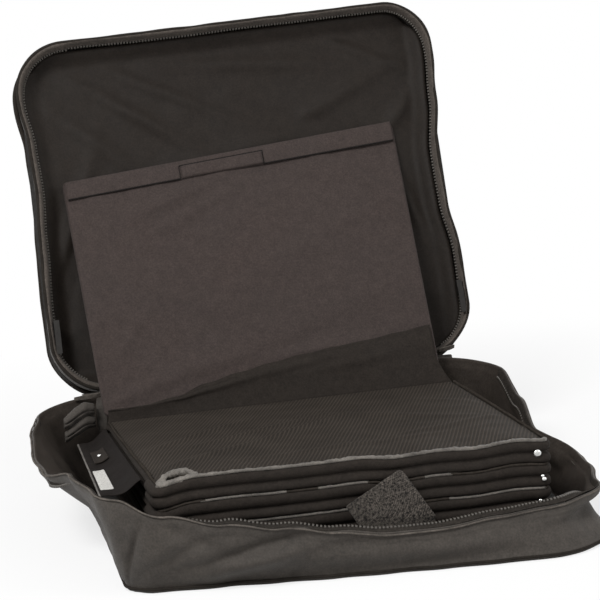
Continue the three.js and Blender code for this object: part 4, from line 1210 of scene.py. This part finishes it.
def binding_point(board, thick, crinkle):
    def place(u, v):
        walked = u * BINDING_LENGTH
        centre, out = binding_path(walked, BINDING_LENGTHS)
        angle = 2 * math.pi * v
        wide, high = math.cos(angle), math.sin(angle)
        patch = math.exp(-(((walked - BINDING_LENGTHS[0] - 12) / 16) ** 2))
        front = ease(-0.2, 0.7, -out.y)
        half = (0.5 + 0.5 * front) * (BINDING_WIDE / 2 - 0.3) + (4.5 * patch if wide < 0 else 0)
        flat = math.copysign(abs(wide) ** 0.6, wide) * half
        rise = math.copysign(abs(high) ** 0.5, high) * thick / 2 * (0.5 + 0.5 * front)
        folds = 0.8 * ripple(walked, flat * 0.5, board * 11, 4.5, 21)
        folds += 0.6 * ripple(walked, flat, board * 7, 2.2, 22)
        folds = (folds + 0.9 * max(ripple(walked, 0, board * 3, 12, 34), 0)) * (0.3 + 0.7 * front)
        wave = 0.8 * ripple(walked, 0, board * 5, 34, 23)
        at = centre + out * (flat + crinkle * (0.5 * folds + wave) * (1 if high > -0.3 else 0.4))
        above = BOARD_TOP + thick / 2 + rise + (crinkle * folds if high > 0 else 0)
        return on_board(board, at.x, at.y, above)

    return place


# %% [markdown]
# The ribbon is lit only where it bulges out between the boards, and in shade where it is drawn in,
# along the ends and at the back. That shade is painted with a darker copy of the ribbon. The lit
# stretches are written down for each board, from left to right, with ragged ends.

# %% Lit ribbon and ribbon with painted shade
LIT_STRETCHES = {
    8: [(-160, 160)], 6: [(-112, -50), (-26, 14), (56, 76)],
    4: [(-78, 4), (76, 152)], 2: [(-60, 20), (96, 150)],
}

for board in (2, 4, 6, 8):
    top = board == 8
    thick, crinkle, columns, rows = (2.4, 1.0, 1000, 14) if top else (2.2, 0.45, 640, 10)
    bm = lay(binding_point(board, thick, crinkle), columns, rows, (BINDING_LENGTH, 21), ring=True)
    close_ends(bm)
    name, node = f"satin_binding_{board}", f"pocket_binding_{board}"
    ribbon = finish_piece(name, bm, BINDING, f"rack_{board}", (node,), smooth=0)
    # The second material paints shade on the ends, the back and the drawn-in stretches.
    ribbon.data.materials.append(RIBBON_SHADE)
    for face in ribbon.data.polygons:
        x, y = face.center.x / MM, face.center.y / MM
        ragged = 3 * ripple(x, y, face.center.z / MM * 3, 5, 37)
        lit = any(low < x + ragged < high for low, high in LIT_STRETCHES[board])
        if y > BINDING_FRONT + 9 + ragged or not lit:
            face.material_index = 1


# %% [markdown]
# At the top pocket's left corner the ribbon turns back on itself and stands up in a flat loop. It is a
# thick, uneven cord on an ellipse, pressed down to three quarters of its height.

# %% The puckered corner
PUCKER_ROUND = 66


def pucker_path(walked):
    """A loop of ribbon pushed up at the left corner of the top pocket's mouth."""
    angle = walked / PUCKER_ROUND * 2 * math.pi
    x = -137 + 13.5 * math.cos(angle) + 2 * ripple(walked, 0, 0, 12, 41)
    y = -134.5 + 6 * math.sin(angle) + 0.12 * (x + 137)
    lift = 1.0 + 1.2 * ripple(walked, 0, 0, 9, 38) + 5.0 * max(math.sin(angle), 0)
    return on_board(8, x, y, BOARD_TOP + lift), Vector((math.cos(angle), math.sin(angle), 0)), UPRIGHT


def pucker_point(u, v):
    walked = u * PUCKER_ROUND
    radius = 3.4 + 1.6 * ripple(walked, v * 12, 0, 7, 39) + 1.2 * ripple(walked, v * 12, 0, 3, 40)
    spot = tube_point(pucker_path, radius, PUCKER_ROUND)(u, v)
    floor = middle_height(8, spot.y) + BOARD_TOP
    return Vector((spot.x, spot.y, floor + (spot.z - floor) * 0.75))


bm = lay(pucker_point, 130, 18, (PUCKER_ROUND, 20), ring=True)
bmesh.ops.recalc_face_normals(bm, faces=bm.faces)
finish_piece("corner_pucker", bm, BINDING, "rack_8", (), smooth=0)

# %% [markdown]
# The wraps are cut from the boards' own cloth and pulled over both edges, with a stitched valley
# between. They cross from one board to the next.

# %% Round the edges of two boards
RIDGE_REACH, WRAP_TURN = BOARD_THICK / 2 + 0.3, 25


def outline_walk(walked, half_x, front, back_reach, corner):
    """Round the left end, the front and the right end of a board, like a U."""
    arc, span = corner * math.pi / 2, 2 * (half_x - corner)
    if walked < back_reach:
        return Vector((-half_x, front + corner + back_reach - walked)), Vector((-1, 0))
    walked -= back_reach
    if walked < arc:
        return round_corner(-half_x + corner, front + corner, corner, math.pi + walked / corner)
    walked -= arc
    if walked < span:
        return Vector((-half_x + corner + walked, front)), Vector((0, -1))
    walked -= span
    if walked < arc:
        return round_corner(half_x - corner, front + corner, corner, 1.5 * math.pi + walked / corner)
    return Vector((half_x, front + corner + walked - arc)), Vector((1, 0))


def ridge_profile(v, low, high):
    """Distance out and height, round two rounded edges, one above the other."""
    sweep = math.radians(84)
    if v < 0.5:
        angle = -math.radians(42) + (sweep + math.radians(42)) * (v / 0.5)
        return RIDGE_REACH * math.cos(angle), low + RIDGE_REACH * math.sin(angle)
    angle = -sweep + 2 * sweep * ((v - 0.5) / 0.5)
    return RIDGE_REACH * math.cos(angle), high + RIDGE_REACH * math.sin(angle)


def join_boards(cloth):
    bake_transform(cloth)


# %% Front wraps
WRAP_LENGTH = 2 * WRAP_TURN + BOARD_CORNER * math.pi + 2 * (RACK_HALF_X - BOARD_CORNER)


def wrap_point(low_board):
    def place(u, v):
        walked = u * WRAP_LENGTH
        at, out = outline_walk(walked, RACK_HALF_X, RACK_FRONT, WRAP_TURN, BOARD_CORNER)
        low, high = (middle_height(board, at.y) for board in (low_board, low_board + 1))
        reach, z = ridge_profile(v, low, high)
        soft = 0.45 * ripple(walked, v * 14, low_board * 13, 9, 24)
        soft += 0.25 * ripple(walked, v * 14, low_board * 3, 3.5, 25)
        plan = at + out * (reach - BOARD_THICK / 2 + 0.2 + soft)
        return settle(Vector((plan.x, plan.y, z + 0.3 * soft)))

    return place


for unit in (1, 2, 3, 4):
    low_board = 2 * unit - 1
    bm = lay(wrap_point(low_board), 260, 16, (WRAP_LENGTH, 19))
    name, nodes = f"ridged_wrap_{unit}", (f"front_wrap_{unit}",)
    wrap = finish_piece(name, bm, BOARD_CLOTH, None, nodes, thickness=1.0, offset=1, smooth=0)
    join_boards(wrap)

# %% Back strips


def strip_point(low_board):
    def place(u, v):
        x = 140 - 280 * u
        low, high = (middle_height(board, RACK_BACK) for board in (low_board, low_board + 1))
        reach, z = ridge_profile(v, low, high)
        soft = 0.3 * ripple(x, v * 14, low_board * 17, 9, 26)
        return settle(Vector((x, RACK_BACK + reach - BOARD_THICK / 2 + 0.2 + soft, z)))

    return place


for strip in (1, 2, 3):
    low_board = 2 * strip
    bm = lay(strip_point(low_board), 60, 16, (280, 19))
    name, nodes = f"rear_strip_{strip}", (f"back_strip_{strip}",)
    cloth = finish_piece(name, bm, BOARD_CLOTH, None, nodes, thickness=1.0, offset=1, smooth=0)
    join_boards(cloth)

# %% [markdown]
# A rivet pins each pair at its right front corner. A rivet's head is a shallow dome with a rolled lip,
# so a half profile is spun round.

# %% Rivets
RIVET_X, RIVET_STEPS = 144, 28
# Share of the radius, height in millimetres.
DOME = [(0, 1.3), (0.45, 1.2), (0.8, 0.85), (0.95, 0.45), (1.0, 0.1), (0.96, -0.2)]


def rivet(name, body, stands_for, centre, heads):
    """Heads are (across, up, radius) from the centre, in millimetres."""
    bm = bmesh.new()
    for across, up, radius in heads:
        points = [bm.verts.new((across + share * radius, up, height)) for share, height in DOME]
        edges = [bm.edges.new(pair) for pair in zip(points, points[1:])]
        turn = {"cent": (across, up, 0), "axis": (0, 0, 1), "angle": 2 * math.pi, "steps": RIVET_STEPS}
        bmesh.ops.spin(bm, geom=points + edges, use_merge=True, **turn)
    bmesh.ops.remove_doubles(bm, verts=bm.verts, dist=1e-4)
    close_ends(bm)
    facing = Matrix.Rotation(math.pi / 2, 4, "X") @ Matrix.Scale(MM, 4)
    bmesh.ops.transform(bm, matrix=Matrix.Translation(settle(centre) * MM) @ facing, verts=bm.verts)
    side_on_uv(bm)
    return finish_piece(name, bm, STEEL, body, (stands_for,), smooth=0, crease=40)


HEADS = {1: [(1.5, 0, 1.8)], 2: [(1.5, 0, 1.8)], 3: [(3.6, 0.6, 1.5), (4.8, -2.2, 2.0)], 4: [(0, 0, 3.0)]}
for unit, heads in HEADS.items():
    board = 8 if unit == 4 else 2 * unit - 1
    valley = middle_height(2 * unit - 0.5, RACK_FRONT)
    centre = Vector((RIVET_X, RACK_FRONT - 1.9, valley))
    rivet(f"rivet_head_{unit}", f"rack_{board}", f"rivet_{unit}", centre, heads)

# %% [markdown]
# ## The side flap
# A soft flap hangs from the left end of the top board over the rim, with a sewn blank label and a snap
# on a patch. Its free edge has a hem.

# %% Side flap
FLAP_FRONT, FLAP_BACK, FLAP_REACH, FLAP_SLOPE = -94, 116, 28.5, math.atan2(11, 25)


def flap_spot(y, reach, lift):
    x = -RACK_HALF_X - 0.3 - reach * math.cos(FLAP_SLOPE) - lift * math.sin(FLAP_SLOPE)
    hollow = 4.5 * math.sin(math.pi * min(reach / FLAP_REACH, 1)) ** 1.5
    z = middle_height(8, y) - reach * math.sin(FLAP_SLOPE) + lift * math.cos(FLAP_SLOPE) - hollow
    spot = Vector((x, y, z))
    return spot.lerp(settle(spot), 1 - ease(0, FLAP_REACH, reach))


def flap_soft(y, reach):
    waves = 1.3 * ripple(y, reach, 0, 28, 27) + 0.5 * ripple(y, reach, 0, 9, 28)
    return waves * ease(0, 12, reach) + 0.6 * math.sin(reach / FLAP_REACH * math.pi)


def flap_point(u, v):
    y, reach = FLAP_FRONT + (FLAP_BACK - FLAP_FRONT) * u, FLAP_REACH * v
    hem = 0.7 * ease(21, 22, reach)
    return flap_spot(y, reach, flap_soft(y, reach) + hem)


FLAP_LONG = FLAP_BACK - FLAP_FRONT
# The flap takes the very dark cloth that paints its shade.
bm = lay(flap_point, 90, 20, (FLAP_LONG, FLAP_REACH))
flap_cloth = finish_piece(
    "flap_cloth", bm, SHADED_FLAP_CLOTH, "rack_8", ("side_flap",), thickness=1.0, offset=1,
)


# %% [markdown]
# The flap's free edge is bound with a pale cord. A blank label and a fuzzy patch with a snap are sewn
# on it, so all three follow its waves and stand a little proud.

# %% What is sewn on the flap


def flap_edge(walked):
    y = FLAP_BACK - walked
    return flap_spot(y, FLAP_REACH + 0.3, flap_soft(y, FLAP_REACH) + 1.0), Vector((-1, 0, 0)), UPRIGHT


cord("flap_edge_cord", flap_edge, 0.9, (FLAP_LONG, 6), 90, BINDING, "rack_8", ())


def on_flap(name, low, high, lift, thickness, material, stands_for):
    """A small sewn patch from low to high, each a place along the flap and a reach down it."""

    def place(u, v):
        y, reach = low[0] + (high[0] - low[0]) * u, low[1] + (high[1] - low[1]) * v
        return flap_spot(y, reach, flap_soft(y, reach) + lift)

    bm = lay(place, 16, 8, (high[0] - low[0], high[1] - low[1]))
    return finish_piece(name, bm, material, "rack_8", (stands_for,), thickness=thickness, offset=1)


on_flap("sewn_label", (-76, 17), (-3, 26.5), 1.6, 0.5, LABEL_CLOTH, "blank_label")
# The patch takes the darker board cloth, which paints the same shade as the flap.
on_flap("fuzzy_patch", (22, 9), (66, 22), 1.5, 1.2, BOARD_CLOTH, "snap_patch")

bm = bmesh.new()
STUD_Y, STUD_REACH, STUD_RADIUS = 48, 15, 2.1
flatten = Matrix.Diagonal((1, 1, 0.55, 1))
bmesh.ops.create_uvsphere(bm, u_segments=20, v_segments=12, radius=STUD_RADIUS * MM, matrix=flatten)
stud_spot = flap_spot(STUD_Y, STUD_REACH, flap_soft(STUD_Y, STUD_REACH) + 2.8)
stand = Matrix.Translation(stud_spot * MM) @ Matrix.Rotation(-FLAP_SLOPE, 4, "Y")
bmesh.ops.transform(bm, matrix=stand, verts=bm.verts)
finish_piece("stud_head", bm, STEEL, "rack_8", ("snap_stud",), smooth=0)

# %% [markdown]
# ## The header
# The header is a padded panel as wide as the boards. It leans back against the lid and has slumped out
# of square, so its four corners were taken one by one, and the panel is spread between them. Its cloth
# is loose enough to wrinkle, most near the foot, where it turns under.

# %% Where the header lies
HEADER_HINGE, HEADER_LEAN = Vector((0, 131.2, 72.5)), math.radians(31.386)
HEADER_UP = Vector((0, math.sin(HEADER_LEAN), math.cos(HEADER_LEAN)))
HEADER_FRONT = Vector((0, -math.cos(HEADER_LEAN), math.sin(HEADER_LEAN)))
HEADER_THICK, HEADER_HALF_X, HEADER_HALF_Y = 5.0, 157, 121.5
HEADER_WIDE, HEADER_TALL = 2 * HEADER_HALF_X, 2 * HEADER_HALF_Y
# Across and up from the hinge.
LOW_LEFT, LOW_RIGHT, HIGH_LEFT, HIGH_RIGHT = map(Vector, ((-157, 1.5), (150, 9), (-168, 231), (152, 267)))
HEADER_FOLDS = [
    (-60, 205, 0.25, 50, 8, 1.8), (-40, 190, 0.4, 44, 6, 1.4),
    (120, 190, -0.8, 46, 7, 1.8), (138, 160, -1.6, 50, 7, 1.4),
    (-110, 24, 0.30, 70, 7, 2.6), (-30, 40, 0.26, 90, 7, 2.4),
    (60, 34, -0.02, 90, 7, 2.4), (110, 28, -0.10, 60, 6, 2.0),
    (0, 60, 0.2, 110, 9, 1.3), (-130, 60, 1.2, 40, 8, 1.3),
    (40, 130, 0.5, 70, 12, 1.0), (-90, 120, -0.8, 60, 12, 1.0),
]


def on_header(u, v, forward):
    """u from left to right, v from the foot to the top, both 0 to 1."""
    at = LOW_LEFT.lerp(LOW_RIGHT, u).lerp(HIGH_LEFT.lerp(HIGH_RIGHT, u), v)
    return HEADER_HINGE + Vector((at.x, 0, 0)) + HEADER_UP * at.y + HEADER_FRONT * forward


def header_soft(x, y):
    return fold_height(HEADER_FOLDS, x, y) + 0.7 * ripple(x, y, 0, 50, 29) + 0.35 * ripple(x, y, 0, 17, 30)


# How far up the header the slack fold below reaches, in millimetres, from left to right.
APRON = [0, 0, 5, 14, 20, 25, 29, 32, 34, 37, 40]

# %% [markdown]
# The cover is a thin pad like the boards. Its wrinkles stand up only above the slack fold, and near the
# foot they are kept low and the pad is hollow, so that they have room when the shut lid presses the
# header on the top board.

# %% Header cover


def header_face(u, v, side):
    x, y = squircle(even_edges(u), even_edges(v), HEADER_HALF_X, HEADER_HALF_Y, 6)
    distance = min(HEADER_HALF_X - abs(x), HEADER_HALF_Y - abs(y))
    forward = side * pad_profile(max(distance, 0), HEADER_THICK / 2, 3.2)
    across, up = x / HEADER_WIDE + 0.5, y + HEADER_HALF_Y
    if side > 0:
        line = read(APRON, across)
        wrinkles = max(header_soft(x, up) * (0.85 + 1.25 * ease(50, 110, up)), -0.9)
        hollow = (2.0 + 1.0 * ease(-140, 0, x)) * (1 - ease(35, 105, up)) * ease(0, 5, distance)
        forward += wrinkles * ease(0, 14, distance) * ease(line - 4, line + 8, up) - hollow
    return on_header(across, y / HEADER_TALL + 0.5, forward)


bm = two_faces(header_face, 150, 120, (HEADER_WIDE, HEADER_TALL))
header_cover = finish_piece("header_cover", bm, PLUM, "header", ("header_panel",), smooth=0)

# %% [markdown]
# The header's top edge is turned down and sewn, and a small tab is sewn over the seam's middle. The
# shadow under the hem's edge and round the tab is painted as a dark line, laid on as a fine, beaded cord.

# %% Hem and its sewn tab
HEM_LOW, HEM_HIGH = 0.915, 0.994


def hem_point(u, v):
    share = HEM_LOW + (HEM_HIGH - HEM_LOW) * v
    crest = 0.9 * math.sin(math.pi * min(max(v, 0.02), 0.98)) ** 0.4
    pucker = 0.25 * ripple(u * 300, v * 6, 0, 7, 31)
    return on_header(0.008 + 0.984 * u, share, HEADER_THICK / 2 + 0.3 + crest + pucker)


bm = lay(hem_point, 160, 10, (308, 12))
finish_piece(
    "header_hem_band", bm, PLUM, "header", ("header_hem",), thickness=0.7, offset=1, smooth=0,
)


# %% Painted shadow lines and the tab


def seam_on_header(name, *spots):
    """A dark line of painted shadow along the hem, as a thin cord through spots (across, share up) on the
    header.
    """
    legs = [(b[0] - a[0], b[1] - a[1]) for a, b in zip(spots, spots[1:])]
    lengths = [math.hypot(across * HEADER_WIDE, up * HEADER_TALL) for across, up in legs]
    whole = sum(lengths)

    def path(walked):
        for (a, b), length in zip(zip(spots, spots[1:]), lengths):
            if walked <= length or b == spots[-1]:
                t = min(walked / length, 1.0)
                break
            walked -= length
        u, share = a[0] + (b[0] - a[0]) * t, a[1] + (b[1] - a[1]) * t
        beading = 0.25 * math.sin(walked * 2.2)
        centre = on_header(u, share, HEADER_THICK / 2 + 1.9 + beading)
        return centre, HEADER_UP + Vector((0.3, 0, 0)), HEADER_FRONT

    cord(name, path, SEAM_RADIUS, (whole, 5), int(whole), SEAM_SHADOW, "header", (), sides=6)


SEAM_RADIUS = 0.8
TAB_LEFT, TAB_RIGHT, TAB_LOW, TAB_TOP = 0.34, 0.592, HEM_LOW + 0.002, 0.972
low_left, low_right = (TAB_LEFT, TAB_LOW), (TAB_RIGHT, TAB_LOW)
seam_on_header("header_hem_seam_left", (0.01, HEM_LOW), low_left)
seam_on_header("header_hem_seam_right", low_right, (0.99, HEM_LOW))
seam_on_header("header_tab_seam", low_left, (TAB_LEFT, TAB_TOP), (TAB_RIGHT, TAB_TOP), low_right)


def tab_point(u, v):
    share = HEM_LOW + 0.003 + 0.052 * v
    edge = min(u, 1 - u, v * 0.25, (1 - v) * 0.25)
    return on_header(0.345 + 0.245 * u, share, HEADER_THICK / 2 + 1.3 + 1.3 * ease(0, 0.03, edge))


bm = lay(tab_point, 40, 8, (62, 11))
finish_piece(
    "header_sewn_tab", bm, PLUM, "header", ("header_tab",), thickness=0.9, offset=1, smooth=0,
)

# %% [markdown]
# Below the header a slack fold of its cloth runs back under to the top board's rear edge. It crosses
# the header's hinge.

# %% Header fold


# Across, up, slope, half length, half width, height of each small fold in millimetres.
APRON_FOLDS = [
    (70, 12, 0.12, 60, 4, 1.5), (160, 20, 0.05, 60, 4, 1.6),
    (230, 14, 0.06, 50, 4, 1.3), (120, 26, 0.02, 50, 3, 1.0),
]


def header_fold_point(u, v):
    """v runs from the fold's edge on the header, down under its foot and up behind it."""
    across = 0.012 + 0.976 * u
    seam = settle(Vector((-153 + 306 * u, RACK_BACK - 1.5, middle_height(8, RACK_BACK) + 2.0)))
    rise = read(APRON, u) / 250
    if v < 0.6:
        share = 1 - v / 0.6
        folds = fold_height(APRON_FOLDS, u * 300, share * 30) * ease(0, 0.15, share)
        bulge = 3.4 * math.sin(math.pi * share * 0.8) + folds + 0.9 * ease(0.9, 1, share)
        at = on_header(across, rise * share + 0.012, HEADER_THICK / 2 + 0.5 + bulge)
        return seam.lerp(at, ease(0, 0.30, share))
    end = on_header(across, 0.1, -HEADER_THICK / 2 - 0.9)
    knee = on_header(across, -0.02, -HEADER_THICK / 2 - 1.5)
    share = (v - 0.6) / 0.4
    return seam.lerp(knee, share * 2) if share < 0.5 else knee.lerp(end, share * 2 - 1)


# The fold is the header's own cloth, but it takes the darker board cloth, which paints the shade under the
# header's foot.
bm = lay(header_fold_point, 150, 40, (306, 70))
fold = finish_piece(
    "header_slack_fold", bm, BOARD_CLOTH, None, ("header_fold",), thickness=0.8, offset=-1,
    smooth=0,
)
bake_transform(fold)

# %% [markdown]
# ## What stays as the CAD model has it
# The stiff cards and the zip's sliders have their right shapes already. They keep their meshes and get
# a finish of their own.

# %% Finishes for the CAD pieces


FINISHES = {
    "lid_board": CARD, "zip_slider_left": DARK_METAL, "zip_slider_right": DARK_METAL,
    "zip_pull_left": DARK_METAL, "zip_pull_right": DARK_METAL,
}
for node, material in FINISHES.items():
    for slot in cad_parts[node].material_slots:
        slot.material = material
print("kept from the CAD model", list(FINISHES))
